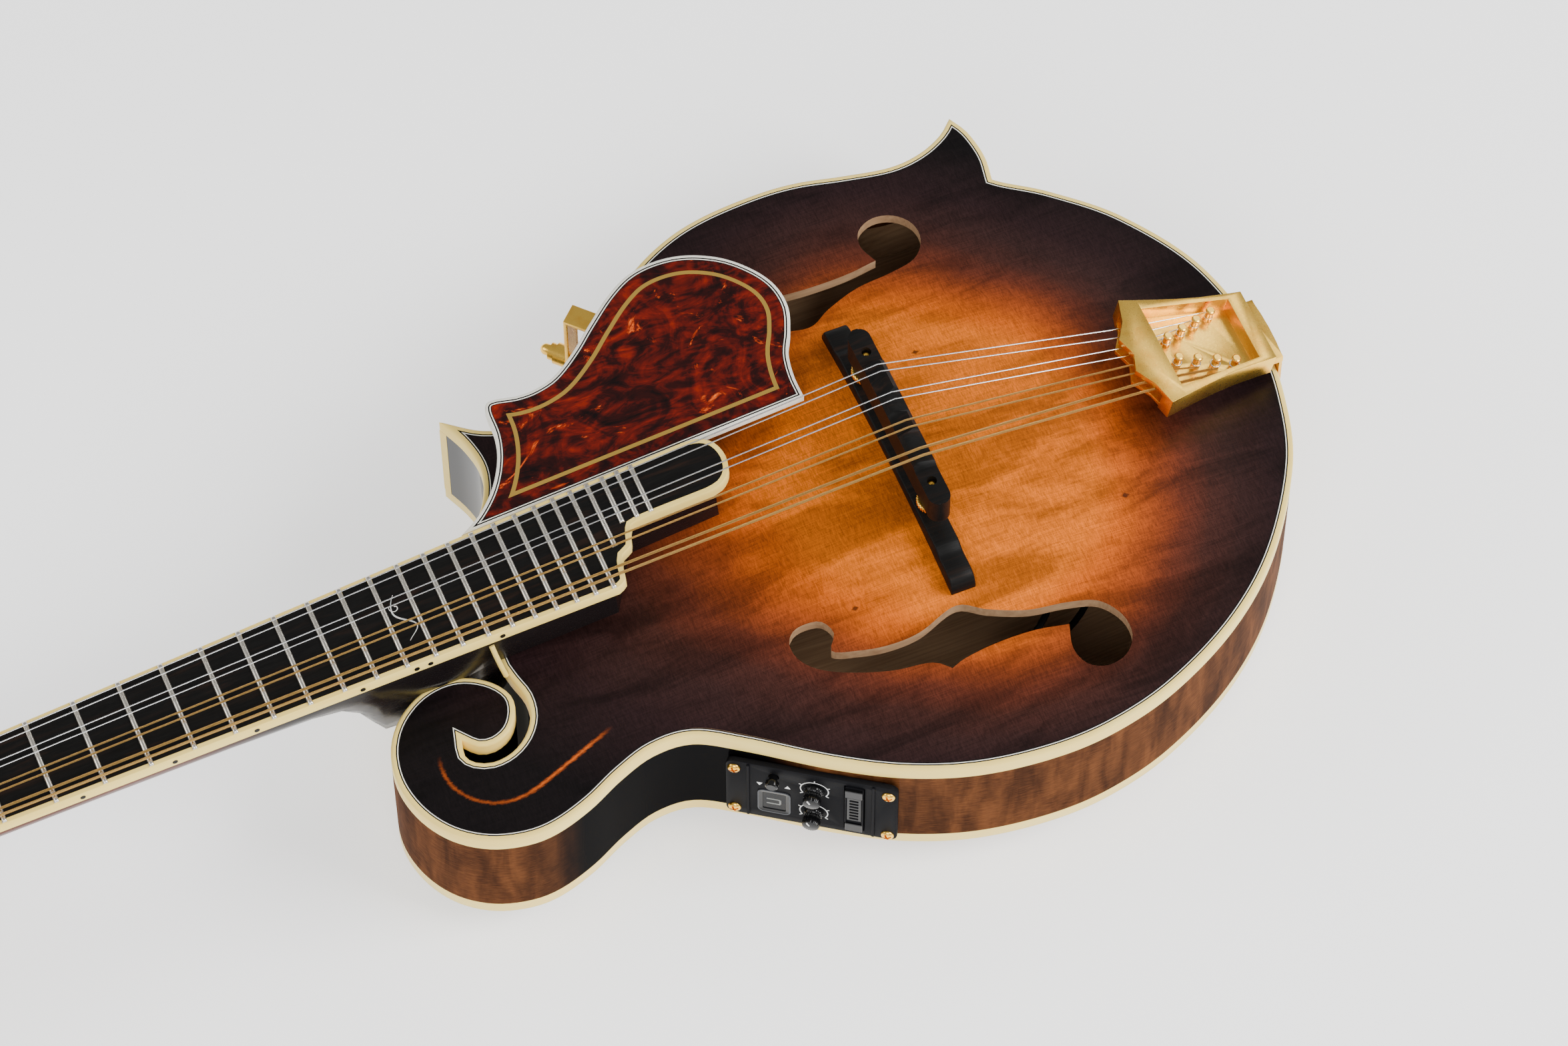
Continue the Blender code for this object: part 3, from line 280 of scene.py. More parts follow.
def smooth_line(knots, step):
    """A closed line through the knots, with the marked ones kept as sharp corners."""
    count = len(knots)
    points = [Vector(k[:2]) for k in knots]
    corner = [len(k) > 2 for k in knots]
    line = []
    for i in range(count):
        before, here, there, after = (points[(i + k) % count] for k in (-1, 0, 1, 2))
        span, span_before, span_after = ((q - p).length ** 0.5 for p, q in
                                         ((here, there), (before, here), (there, after)))
        chord = there - here
        leave = chord if corner[i] else (there - before) * span / (span + span_before)
        arrive = chord if corner[(i + 1) % count] else (after - here) * span / (span + span_after)
        pieces = max(1, round(chord.length / step))
        for k in range(pieces):
            t = k / pieces
            line.append((2 * t**3 - 3 * t**2 + 1) * here + (t**3 - 2 * t**2 + t) * leave
                        + (3 * t**2 - 2 * t**3) * there + (t**3 - t**2) * arrive)
    return line


def inset(line, distance):
    """The line moved in from an anticlockwise outline, with mitred corners and no crossings."""
    count = len(line)
    moved = []
    for i, point in enumerate(line):
        back = (point - line[i - 1]).normalized()
        ahead = (line[(i + 1) % count] - point).normalized()
        mitre = Vector((-back.y - ahead.y, back.x + ahead.x)) / max(0.12, 1.0 + back.dot(ahead))
        moved.append(point + mitre * distance)
    for i in range(count if distance else 0):
        for j in range(min(i + 40, i + count - 2), i + 1, -1):
            ends = (moved[i], moved[(i + 1) % count], moved[j % count], moved[(j + 1) % count])
            meet = intersect_line_line_2d(*ends)
            if meet and (ends[1] - ends[0]).length > 1e-6 and (ends[3] - ends[2]).length > 1e-6:
                for k in range(i + 1, j + 1):
                    moved[k % count] = meet.copy()
                break
    return moved


def ring(line, section):
    """A closed strip round a line; the section's corners are (distance in, height)."""
    shape = bmesh.new()
    loops = [[shape.verts.new((*p, height)) for p in inset(line, inwards)] for inwards, height in section]
    for near, far in zip(loops, loops[1:] + loops[:1]):
        for i in range(len(line)):
            shape.faces.new((near[i - 1], near[i], far[i], far[i - 1]))
    return shape


def block(low, high):
    """A plain block between two corners, for cutting with."""
    shape = bmesh.new()
    bmesh.ops.create_cube(shape, size=1.0)
    low, high = Vector(low), Vector(high)
    for vert in shape.verts:
        vert.co = (low + high) / 2 + Vector(a * b for a, b in zip(vert.co, high - low))
    return shape


def rod(radius, low, high, sides=32):
    """A round bar along z, for cutting with."""
    shape = bmesh.new()
    bmesh.ops.create_cone(shape, cap_ends=True, segments=sides, radius1=radius, radius2=radius,
                          depth=high - low)
    bmesh.ops.translate(shape, verts=shape.verts, vec=(0, 0, (low + high) / 2))
    return shape


def cut(mesh, tools, operation="DIFFERENCE"):
    """The mesh with each tool cut out of it, or joined to it."""
    holder = bpy.data.objects.new("work", mesh)
    bpy.context.scene.collection.objects.link(holder)
    cutters = []
    for tool in tools:
        cutters.append(bpy.data.objects.new("tool", tool))
        bpy.context.scene.collection.objects.link(cutters[-1])
        step = holder.modifiers.new("step", "BOOLEAN")
        step.object = cutters[-1]
        step.operation = operation
        step.solver = "EXACT"
    bpy.context.view_layer.update()
    result = bpy.data.meshes.new_from_object(holder.evaluated_get(bpy.context.evaluated_depsgraph_get()))
    for used in (holder, *cutters):
        bpy.data.objects.remove(used, do_unlink=True)
    return result


body_line = smooth_line(BODY_KNOTS, 2.6)
panel_bench = bench((-92.7, -282.0, -26.0), (-0.569, -0.823, 0.0), (0, 0, 1))
jack_bench = bench((0, -494.0, -25.0), (1, 0, 0), (0, 0, 1))


def shaded_maple(name, fade, shine):
    """Flamed maple under stain; (x, y, reach) of spots sprayed black, and of one polished up."""
    made = Finish(name, dye(110, 58, 34), 0.3, sheen=0.0)
    flame = made.noise((0.13, 0.13, 0.03), 3.0, 0.5, 0.5)
    fibre = made.noise((0.25, 0.25, 2.4), 3.0, 0.65)
    light = made.ease(flame * 0.6 + fibre * 0.4, 0.3, 0.75)
    stain = made.mix(light, dye(50, 27, 14), dye(112, 68, 38))
    spot = made.place()
    for x, y, reach in fade:
        away = made.node("VectorMath", {"operation": "DISTANCE"},
                         {0: made.node("VectorMath", {"operation": "MULTIPLY"}, {0: spot, 1: (1, 1, 0)}),
                          1: (x, y, 0)}, "Value")
        stain = made.mix(made.ease(away, reach * 0.6, reach, 1.0, 0.0), stain, dye(9, 8, 9))
    made.feed("Base Color", stain)
    made.feed("Roughness", 0.27 + flame * 0.12)
    x, y, reach = shine
    away = made.node("VectorMath", {"operation": "DISTANCE"}, {0: spot, 1: (x, y, -25.0)}, "Value")
    made.feed("Coat Weight", made.ease(away, reach * 0.8, reach, 0.9, 0.06))
    made.bump(fibre, 0.015)
    return made


rib_maple = shaded_maple("shaded_rib_maple", ((-58, -236, 66), (-32, -182, 34), (52, -204, 60),
                         (128, -424, 20)),
                         (62, -216, 44))
rim_low = -RIM_DEPTH + BINDING_HEIGHT
rim_mesh = place_mesh("rim", ring(body_line, ((0, -BINDING_HEIGHT), (0, rim_low), (2.5, rim_low),
                                              (2.5, -BINDING_HEIGHT))), LAYOUT)
panel_opening = place_mesh("panel_opening", block((-25, -16, -30), (25, 16, 6)), panel_bench)
jack_hole = place_mesh("jack_hole", rod(6.3, -30, 6), jack_bench)
piece("ribs", cut(rim_mesh, (panel_opening, jack_hole)), rib_maple, "maple", nodes=("rim",), crease=32)

for name, edge, reach in (("top_lining", -5.4, -18), ("back_lining", -45.6, -33)):
    lining = place_mesh(name, ring(body_line, ((2.6, edge), (2.6, reach), (3.4, reach), (7.5, edge))), LAYOUT)
    piece(name, cut(lining, (panel_opening, jack_hole)), raw_wood, "spruce")

# Top and back plates.
# Two carved plates, the top spruce-coloured with an amber-to-black sunburst under satin lacquer,
# the back flamed maple. Both arch about 13 mm, thin at the edges, and are raw wood inside.
F_HOLE_KNOTS = (
    (-47.5, -298), (-49, -303.5), (-54.5, -305.8), (-60, -302.5), (-63.2, -310), (-65.6, -321),
    (-65.4, -333), (-61, -348.5), (-66, -358), (-71, -371), (-73, -385), (-76, -395.5),
    (-83.5, -401.3), (-91.5, -401.5), (-97.6, -396.5), (-99.3, -389), (-96, -382.5),
    (-89, -380.2), (-80.6, -382.5, True), (-78.6, -370), (-78.4, -356), (-79.6, -344),
    (-81.3, -338.5, True), (-77, -333), (-74.5, -319), (-69.5, -305), (-64, -295.5),
    (-58, -290.8), (-52, -290.2), (-48.4, -293),
)


def arch(x, y):
    """Height of the carved arch over the flat edge of the plate."""
    reach = 122.0 if y < -355.0 else 142.0
    return 13.0 * max(0.0, 1.0 - (x / 106.0) ** 2 - ((y + 355.0) / reach) ** 2) ** 1.5


def sheet(loops, low, high):
    """A flat piece between two heights: a filled outline, with holes if there are more loops."""
    curve = bpy.data.curves.new("outline", "CURVE")
    curve.dimensions = "2D"
    curve.fill_mode = "BOTH"
    curve.extrude = (high - low) / 2
    for loop in loops:
        spline = curve.splines.new("POLY")
        spline.points.add(len(loop) - 1)
        for point, spot in zip(spline.points, loop):
            point.co = (spot[0], spot[1], 0.0, 1.0)
        spline.use_cyclic_u = True
    holder = bpy.data.objects.new("outline", curve)
    bpy.context.scene.collection.objects.link(holder)
    bpy.context.view_layer.update()
    surface = bpy.data.meshes.new_from_object(holder.evaluated_get(bpy.context.evaluated_depsgraph_get()))
    shape = bmesh.new()
    shape.from_mesh(surface)
    bmesh.ops.remove_doubles(shape, verts=shape.verts, dist=0.0005)
    bmesh.ops.translate(shape, verts=shape.verts, vec=(0, 0, (low + high) / 2))
    bpy.data.objects.remove(holder, do_unlink=True)
    return shape


def carved_plate(name, direction, holes):
    """The top (direction 1) or the back (direction -1), carved and trimmed to the binding."""
    shape = bmesh.new()
    columns, rows = 56, 76
    thick = 4.5 * direction
    sides = []
    for level in (0.0, thick):
        sides.append([[shape.verts.new((x, y, direction * arch(x, y) - level - (RIM_DEPTH if direction < 0 else 0)))
                       for x in (-131.0 + 270.0 * c / columns for c in range(columns + 1))]
                      for y in (-504.0 + 366.0 * r / rows for r in range(rows + 1))])
    for grid in sides:
        for r in range(rows):
            for c in range(columns):
                shape.faces.new((grid[r][c], grid[r][c + 1], grid[r + 1][c + 1], grid[r + 1][c]))
    outer, inner = sides
    border = [(0, c) for c in range(columns)] + [(r, columns) for r in range(rows)]
    border += [(rows, c) for c in range(columns, 0, -1)] + [(r, 0) for r in range(rows, 0, -1)]
    for (r, c), (next_r, next_c) in zip(border, border[1:] + border[:1]):
        shape.faces.new((outer[r][c], outer[next_r][next_c], inner[next_r][next_c], inner[r][c]))
    mesh = place_mesh(name, shape, LAYOUT)
    trim = place_mesh(name + "_trim", sheet([inset(body_line, 3.02)], -90, 40), LAYOUT)
    mesh = cut(mesh, (trim,), "INTERSECT")
    return cut(mesh, [place_mesh("f_hole", sheet([line], -20, 30), LAYOUT) for line in holes])


burst = Finish("sunburst", dye(196, 108, 40), 0.4, sheen=0.12)
spot_x, spot_y = (burst.node("SeparateXYZ", {}, {0: burst.place()}, axis) for axis in ("X", "Y"))
cloud = burst.noise((0.02, 0.012, 0.02), 3.0, 0.6)
across, down = (spot_x + 5.0) / 105.0, spot_y + 360.0
run, bend = burst.ease(down, -1.0, 1.0, 100.0, 119.0), burst.ease(down, -1.0, 1.0, 1.9, 1.3)
reach = across ** 2.0 + (abs(down) / run) ** bend - across * down / 590.0 + (cloud - 0.5) * 0.3
burst_stops = ((0.0, dye(214, 110, 16)), (0.17, dye(209, 105, 15)), (0.23, dye(190, 88, 15)),
               (0.29, dye(154, 69, 20)), (0.34, dye(122, 54, 24)), (0.4, dye(88, 40, 25)),
               (0.48, dye(60, 32, 26)), (0.57, dye(47, 28, 26)), (0.7, dye(36, 22, 23)),
                (1.0, dye(17, 13, 14)))
sunburst = burst.node("ValToRGB", {"stops": burst_stops}, {0: reach / 2.0})
ripple = burst.noise((0.3, 1.5, 0.3), 3.0, 0.6, 1.2)
fibre = burst.noise((3.0, 0.05, 1.0), 3.0, 0.6)
# Darker patches at random over the top, and a darker band along x = -18 under the bass strings.
dark_mottle_and_band = burst.noise((0.05, 0.013, 0.03), 4.0, 0.62, 1.0) + burst.ease(
    abs(spot_x + 18.0), 2.0, 16.0, -0.09, 0.0)
figure = (burst.ease(ripple * 0.6 + fibre * 0.4, 0.3, 0.7, 0.6, 1.34)
          * burst.ease(dark_mottle_and_band, 0.34, 0.58, 0.55, 1.08))
top_colour = burst.tone(figure, sunburst)
for x, y, size in ((38, -376, 1.5), (-49, -316, 1.5), (-42, -421, 1.7)):
    away = abs(spot_x - x) * 1.4 + abs(spot_y - y)
    top_colour = burst.mix(burst.ease(away, size * 0.5, size * 1.3, 0.8, 0.0), top_colour, dye(30, 14, 10))
# The lacquer is rubbed through along the ridge of the scroll.
round_scroll = abs(((spot_x + 50.0) ** 2 + (spot_y + 183.0) ** 2) ** 0.5 - 19.3)
down_scroll = abs((spot_x + 68.5) * 0.934 + (spot_y + 190.0) * 0.358)
tailwards = burst.ease(spot_y, -187.0, -193.0)
away = round_scroll * (1.0 - tailwards) + down_scroll * tailwards
worn = burst.noise((0.9, 0.35, 0.3), 4.0, 0.75)
rubbed = burst.ease(away + worn * 2.4, 0.9, 2.3, 1.0, 0.0) * burst.ease(spot_x, -43.0, -52.0) * burst.ease(
    spot_y, -224.0, -212.0) * burst.ease(spot_y, -176.0, -196.0, 0.45, 1.0)
top_colour = burst.mix(rubbed * 0.8, top_colour, dye(226, 104, 30))
burst.feed("Base Color", top_colour)
burst.feed("Roughness", 0.34 + ripple * 0.14)
burst.bump(ripple * 0.6 + fibre * 0.5, 0.03)

bass_hole = smooth_line(F_HOLE_KNOTS, 2.0)
treble_hole = [Vector((3.0 - p.x, p.y + 2.0)) for p in reversed(bass_hole)]
back_maple = shaded_maple("shaded_back_maple", ((-50, -200, 80), (52, -204, 70)),
                          (0, -340, 10))
for name, direction, holes, finish, slot, node in (
        ("carved_top", 1, (bass_hole, treble_hole), burst, "spruce", "soundboard"),
        ("carved_back", -1, (), back_maple, "maple", "back_plate")):
    plate = piece(name, carved_plate(name, direction, holes), finish, slot, nodes=(node,), crease=30)
    plate.data.materials.append(raw_wood.material)
    for face in plate.data.polygons:
        face.material_index = int(face.normal.z * direction < 0.4)

# Binding and edge lines.
# Cream celluloid let into both edges of the body and mitred at the points, with a black and a
# white line beside it on the top. Its outer corner is scraped round and it has yellowed a little.
ivoroid = Finish("aged_ivoroid", dye(250, 234, 182), 0.3)
age = ivoroid.noise((0.03, 0.03, 0.2), 4.0, 0.6)
grime = ivoroid.noise((0.6, 0.6, 0.6), 3.0, 0.7)
ivoroid.feed("Base Color", ivoroid.mix(age, dye(255, 233, 142), dye(252, 212, 104)))
ivoroid.feed("Roughness", 0.24 + grime * 0.16)
black_line = Finish("black_line", dye(20, 18, 18), 0.35, sheen=0.1)
white_line = Finish("white_line", dye(246, 242, 228), 0.35)
for finish, base in ((black_line, dye(20, 18, 18)), (white_line, dye(246, 242, 228))):
    wear = finish.noise((0.4, 0.4, 0.4), 3.0, 0.6)
    finish.feed("Base Color", finish.tone(0.85 + wear * 0.25, finish.mix(0.0, base, base)))

for name, edge, level, inner, node in (("top_edge", -BINDING_HEIGHT, 0.0, 1.8, "top_binding"),
                                       ("back_edge", rim_low, -RIM_DEPTH, 3.0, "back_binding")):
    lean = 1 if level == 0.0 else -1
    section = ((0.0, edge), (-0.02, level - 0.9 * lean), (0.25, level - 0.25 * lean),
               (0.9, level + 0.03 * lean), (inner, level + 0.03 * lean), (inner, edge))
    piece(name, place_mesh(name, ring(body_line, section), LAYOUT), ivoroid, "ivoroid", nodes=(node,),
          crease=50)
for name, finish, near, far in (("outer_black_line", black_line, 1.8, 2.25),
                                ("white_edge_line", white_line, 2.25, 2.6),
                                ("inner_black_line", black_line, 2.6, 3.04)):
    strip = ring(body_line, ((near, -2.0), (near, 0.03), (far, 0.03), (far, -2.0)))
    piece(name, place_mesh(name, strip, LAYOUT), finish, "ivoroid", crease=50)

STRIP_REACH = 3.2
STRIP_DEPTH = 0.6
STRIP_PROUD = 0.07
for name, place in (("horn_strip", HORN_TIP), ("point_strip", POINT_TIP)):
    tip = Vector(place)
    at = min(range(len(body_line)), key=lambda number: (body_line[number] - tip).length)
    walls = [(body_line[(at + side) % len(body_line)] - tip).normalized() for side in (-1, 1)]
    inward = (walls[0] + walls[1]).normalized()
    half_angle = abs(walls[0].cross(inward))
    plan = [tip - inward * STRIP_PROUD / half_angle]
    for order, wall in zip((1, -1), (walls[1], walls[0])):
        outward = Vector((wall.y, -wall.x))
        if outward.dot(inward) > 0:
            outward = -outward
        end = tip + wall * STRIP_REACH
        sides = [end + outward * STRIP_PROUD, end - outward * STRIP_DEPTH]
        plan += sides[::order]
        if order == 1:
            plan.append(tip + inward * STRIP_DEPTH / half_angle)
    strip = place_mesh(name, sheet([plan], rim_low, -BINDING_HEIGHT), LAYOUT)
    piece(name, strip, ivoroid, "ivoroid")

# Neck and headstock.
# One length of maple from the body joint to the end of the headstock, with a short heel and a
# tilted, double-curved head, all in black gloss. The heel ends in a cream cap.
black_gloss = Finish("black_gloss", dye(19, 16, 17), 0.22, coat=0.1)
depth_of_black = black_gloss.noise((0.05, 0.02, 0.05), 3.0, 0.6)
handling = black_gloss.noise((0.5, 0.12, 0.5), 3.0, 0.7)
along_neck = black_gloss.node("SeparateXYZ", {}, {0: black_gloss.place()}, "Y")
shade_fade = black_gloss.ease(along_neck + depth_of_black * 30.0, -112.0, -60.0) * black_gloss.ease(
    along_neck, 4.0, -8.0)
neck_stain = black_gloss.mix(black_gloss.noise((0.3, 0.03, 0.3), 3.0, 0.6), dye(62, 26, 14), dye(118, 54, 26))
black_gloss.feed("Base Color", black_gloss.mix(shade_fade * 0.85, black_gloss.mix(
    depth_of_black, dye(14, 12, 13), dye(30, 24, 24)), neck_stain))
black_gloss.feed("Roughness", 0.16 + handling * 0.2)
dressed("neck", black_gloss, 0.35, 40)
dressed("heel_cap", ivoroid, 0.35)

HEAD_KNOTS = (
    (15.6, -1, True), (17.0, 9), (21.5, 17), (28, 27), (31.2, 42), (30.6, 75), (29, 108),
    (30, 124), (34.5, 137), (41, 143, True), (33.5, 151), (26, 159), (16, 162.5), (7.5, 158),
    (2, 155, True), (-5, 162), (-12, 174), (-22, 180), (-32.5, 176), (-37.5, 165), (-35, 154),
    (-28.5, 150, True), (-30.5, 138), (-29.3, 124), (-29, 108), (-30.6, 75), (-31.2, 42),
    (-28, 27), (-21.5, 17), (-17.0, 9), (-15.6, -1, True),
)
head_tilt = math.radians(14.0)
head_bench = bench((0, 4.8, 3.6), (1, 0, 0), (0, math.cos(head_tilt), -math.sin(head_tilt)))
head_line = smooth_line(HEAD_KNOTS, 2.0)
veneer = place_mesh("head_veneer", sheet([inset(head_line, 1.9)], -0.3, 0.2), head_bench)
piece("head_veneer", veneer, black_gloss, "black_lacquer", rounded=0.08)
head_edge = ring(head_line, ((-0.06, -5.5), (-0.06, -0.3), (0.4, 0.22), (1.85, 0.22), (1.85, -5.5)))
piece("head_binding", place_mesh("head_binding", head_edge, head_bench), ivoroid, "ivoroid", crease=50)


def wire(points, radius, sides=10, closed=False, flat=1.0):
    """A drawn wire through the points, round or flattened; radius may be one for each point."""
    shape = bmesh.new()
    points = [Vector(p) for p in points]
    radii = radius if hasattr(radius, "__len__") else [radius] * len(points)
    loops = []
    across = None
    for i, point in enumerate(points):
        ahead = points[(i + 1) % len(points)] if closed or i + 1 < len(points) else point
        before = points[i - 1] if closed or i > 0 else point
        way = (ahead - before).normalized()
        if across is None:
            across = way.cross(Vector((0, 0, 1)) if abs(way.z) < 0.9 else Vector((1, 0, 0)))
        across = (across - way * across.dot(way)).normalized()
        up = way.cross(across)
        loops.append([shape.verts.new(point + (across * math.cos(2 * math.pi * k / sides)
                                               + up * math.sin(2 * math.pi * k / sides) * flat) * radii[i])
                      for k in range(sides)])
    for near, far in zip(loops, loops[1:] + (loops[:1] if closed else [])):
        for k in range(sides):
            shape.faces.new((near[k - 1], near[k], far[k], far[k - 1]))
    if not closed:
        shape.faces.new(loops[0])
        shape.faces.new(loops[-1])
    return shape


def soft_route(points, count):
    """A soft line through a few points in space."""
    points = [Vector(p) for p in points]
    line = []
    spans = len(points) - 1
    for k in range(count + 1):
        spot = min(k / count * spans, spans - 1e-6)
        i = int(spot)
        t = spot - i
        before, here, there, after = (points[max(0, min(spans, i + k))] for k in (-1, 0, 1, 2))
        line.append(0.5 * (2 * here + (there - before) * t
                           + (2 * before - 5 * here + 4 * there - after) * t * t
                           + (3 * here - before - 3 * there + after) * t**3))
    return line


riser_edge = soft_route(((-22.9, -197.4, -0.4), (-21.6, -196.3, 4.5), (-20.0, -195.2, 10.0),
                         (-18.6, -194.3, 15.4)), 16)
piece("riser_edge", place_mesh("riser_edge", wire(riser_edge, 0.95, 12, flat=0.7), LAYOUT), ivoroid,
      "ivoroid")

# Truss rod.
# A steel rod in a channel under the fingerboard, its six-sided nut reached under a small
# ebony cover at the throat of the headstock.
steel = Finish("bright_steel", dye(205, 205, 208), 0.25, 1.0)
brushing = steel.noise((3.0, 0.15, 3.0), 3.0, 0.6)
steel.feed("Roughness", 0.2 + brushing * 0.2)
steel.feed("Base Color", steel.mix(brushing, dye(222, 222, 222), dye(176, 176, 180)))
dressed("truss_rod", steel, 0.1)

ebony = Finish("oiled_ebony", dye(38, 34, 33), 0.42, sheen=0.1)
grain = ebony.noise((1.4, 0.035, 1.4), 3.0, 0.65)
pores = ebony.noise((4.0, 0.35, 4.0), 2.0, 0.6)
streak = ebony.noise((0.3, 0.015, 0.3), 3.0, 0.7, 0.6)
ebony.feed("Base Color", ebony.mix(ebony.ease(streak, 0.5, 0.75), ebony.mix(
    grain, dye(8, 8, 8), dye(27, 26, 25)), dye(38, 27, 22)))
ebony.feed("Roughness", 0.34 + pores * 0.2)
ebony.bump(pores + grain, 0.03)
dressed("truss_rod_cover", ebony, 0.4)

# Fingerboard and frets.
# An ebony board edged in cream, with nickel frets crowned and filed round at the ends, black
# side dots on the player's side, and a thin pearl flourish let in at the twelfth fret.
SCALE_LENGTH = 350.0
BOARD_KNOTS = (
    (22.3, 283), (21.3, 288.3), (17.6, 292.4), (11.2, 294), (4.9, 292.4), (1.2, 288.3), (0.2, 283, True),
    (0.2, 256.5), (-1.4, 253.5), (-8, 251), (-10, 247.2), (-14.5, 245.4), (-19.5, 244.4),
    (-21.4, 241, True),
)
board_tilt = math.radians(4.67)
board_bench = bench((0, 0, 8.7), (1, 0, 0), (0, math.cos(board_tilt), -math.sin(board_tilt)))


def fret_distance(number):
    return SCALE_LENGTH * (1.0 - 2.0 ** (-number / 12.0))


def board_half_width(distance):
    return 16.5 + 5.5 * distance / fret_distance(24)


nut_corner = board_half_width(0)
board_outline = [(x, -s, *mark) for x, s, *mark in BOARD_KNOTS]
board_outline = [(nut_corner, -0.3, True), (22.2, -275, True)] + board_outline + [(-nut_corner, -0.3, True)]
board_line = [Vector((p.x, p.y)) for p in smooth_line(board_outline, 2.2)]
if sum(a.x * b.y - b.x * a.y for a, b in zip(board_line, board_line[1:] + board_line[:1])) < 0:
    board_line.reverse()
board = place_mesh("board", sheet([inset(board_line, 1.8)], -4.5, 0.0), board_bench)
piece("board", board, ebony, "ebony", nodes=("fingerboard",), rounded=0.15)
board_edge = ring(board_line, ((0.0, -4.5), (0.0, -0.35), (0.3, 0.02), (1.85, 0.02), (1.85, -4.5)))
piece("board_binding", place_mesh("board_binding", board_edge, board_bench), ivoroid, "ivoroid",
      nodes=("fingerboard_binding",), crease=50)

nickel = Finish("polished_nickel", dye(222, 216, 204), 0.24, 1.0)
scratches = nickel.noise((0.4, 6.0, 2.0), 3.0, 0.7)
nickel.feed("Roughness", 0.16 + scratches * 0.22)
frets = bmesh.new()
for number in range(1, 25):
    distance = fret_distance(number)
    right = board_half_width(distance) - 0.5
    left = {21: -6.0, 22: 1.6, 23: 1.4, 24: 1.4}.get(number, -right)
    rows = []
    for x, share in ((left, 0.35), (left + 0.35, 0.8), (left + 0.9, 1.0),
                     (right - 0.9, 1.0), (right - 0.35, 0.8), (right, 0.35)):
        rows.append([frets.verts.new((x, -distance + 1.0 * math.cos(math.pi * k / 8),
                                      -0.05 + 0.98 * share * math.sin(math.pi * k / 8))) for k in range(9)])
    for near, far in zip(rows, rows[1:]):
        for k in range(8):
            frets.faces.new((near[k], near[k + 1], far[k + 1], far[k]))
        frets.faces.new((near[8], near[0], far[0], far[8]))
    frets.faces.new(rows[0])
    frets.faces.new(rows[-1])
piece("frets", place_mesh("frets", frets, board_bench), nickel, "steel", crease=60)

dots = bmesh.new()
for number, count in ((3, 1), (5, 1), (7, 1), (10, 1), (12, 2), (15, 1)):
    middle = (fret_distance(number) + fret_distance(number - 1)) / 2
    for k in range(count):
        spread = (k - (count - 1) / 2) * 5.0
        dot = rod(0.95, -0.1, 0.1, 20)
        side = Matrix.Translation((-board_half_width(middle), -middle + spread, -2.3))
        bmesh.ops.transform(dot, matrix=side @ Matrix.Rotation(math.pi / 2, 4, "Y"), verts=dot.verts)
        dot_mesh = bpy.data.meshes.new("dot")
        dot.to_mesh(dot_mesh)
        dots.from_mesh(dot_mesh)
        dot.free()
piece("side_dots", place_mesh("side_dots", dots, board_bench), black_line, "ivoroid")

pearl = Finish("pearl", dye(226, 224, 214), 0.25, coat=0.6)
nacre = pearl.noise((0.35, 0.35, 0.35), 3.0, 0.6, 1.8)
pearl.feed("Base Color", pearl.node("ValToRGB", {"stops": (
    (0.3, dye(238, 232, 218)), (0.48, dye(206, 214, 212)), (0.6, dye(240, 226, 222)),
    (0.72, dye(214, 206, 190)))},
    {0: nacre}))
pearl.feed("Roughness", 0.18 + nacre * 0.18)


flourish_y = -(fret_distance(11) + fret_distance(12)) / 2
stem = [(9.0 - 19.0 * t, flourish_y + 2.6 * math.sin(t * 6.0) - 1.5 * math.sin(t * 11.0) * t, 0.0)
        for t in (k / 40 for k in range(41))]
girth = [0.1 + 0.2 * math.sin(math.pi * k / 40) ** 2 for k in range(41)]
piece("flourish_stem", place_mesh("flourish", wire(stem, girth, flat=0.2), board_bench), pearl, "pearl")
curl = [(4.2 + (2.4 - t * 0.32) * math.cos(t), flourish_y + 1.2 + (2.4 - t * 0.32) * math.sin(t), 0.0)
        for t in (1.0 + k * 0.2 for k in range(27))]
curl_girth = [0.1 + 0.12 * k / 26 for k in range(27)]
piece("flourish_curl", place_mesh("flourish", wire(curl, curl_girth, flat=0.2), board_bench), pearl, "pearl")

bone = Finish("polished_bone", dye(238, 230, 206), 0.35)
bone_grain = bone.noise((2.0, 0.5, 2.0), 3.0, 0.6)
bone.feed("Base Color", bone.mix(bone_grain, dye(244, 238, 218), dye(222, 208, 176)))
dressed("nut", bone, 0.3)

# Tuners.
# Two gold-plated plates, each with four worm-driven string posts and pearl-look buttons on
# steel shafts, screwed to the back of the headstock with small round-headed screws.
gold = Finish("satin_gold", dye(236, 198, 104), 0.26, 1.0)
cast_skin = gold.noise((1.2, 1.2, 1.2), 5.0, 0.7)
tarnish = gold.noise((0.08, 0.08, 0.08), 3.0, 0.6)
gold.feed("Base Color", gold.mix(gold.ease(tarnish, 0.45, 0.75), dye(255, 206, 92), dye(240, 176, 66)))
gold.feed("Roughness", 0.2 + cast_skin * 0.18)
gold.bump(cast_skin, 0.02)


def turned(profile, steps=40, knurl=0.0, teeth=0):
    """A piece turned about z from (radius, height) down its outside, with knurling if asked."""
    shape = bmesh.new()
    loops = []
    for radius, height in profile:
        if radius == 0:
            loops.append([shape.verts.new((0, 0, height))])
            continue
        loops.append([])
        for k in range(steps):
            angle = 2 * math.pi * k / steps
            r = radius - (knurl if teeth and k % (steps // teeth) >= steps // teeth // 2 else 0.0)
            loops[-1].append(shape.verts.new((r * math.cos(angle), r * math.sin(angle), height)))
    for near, far in zip(loops, loops[1:]):
        for k in range(steps if len(near) + len(far) > 2 else 0):
            corners = [near[k - 1] if len(near) > 1 else near[0], near[k] if len(near) > 1 else None,
                       far[k] if len(far) > 1 else far[0], far[k - 1] if len(far) > 1 else None]
            shape.faces.new([c for c in corners if c is not None])
    return shape


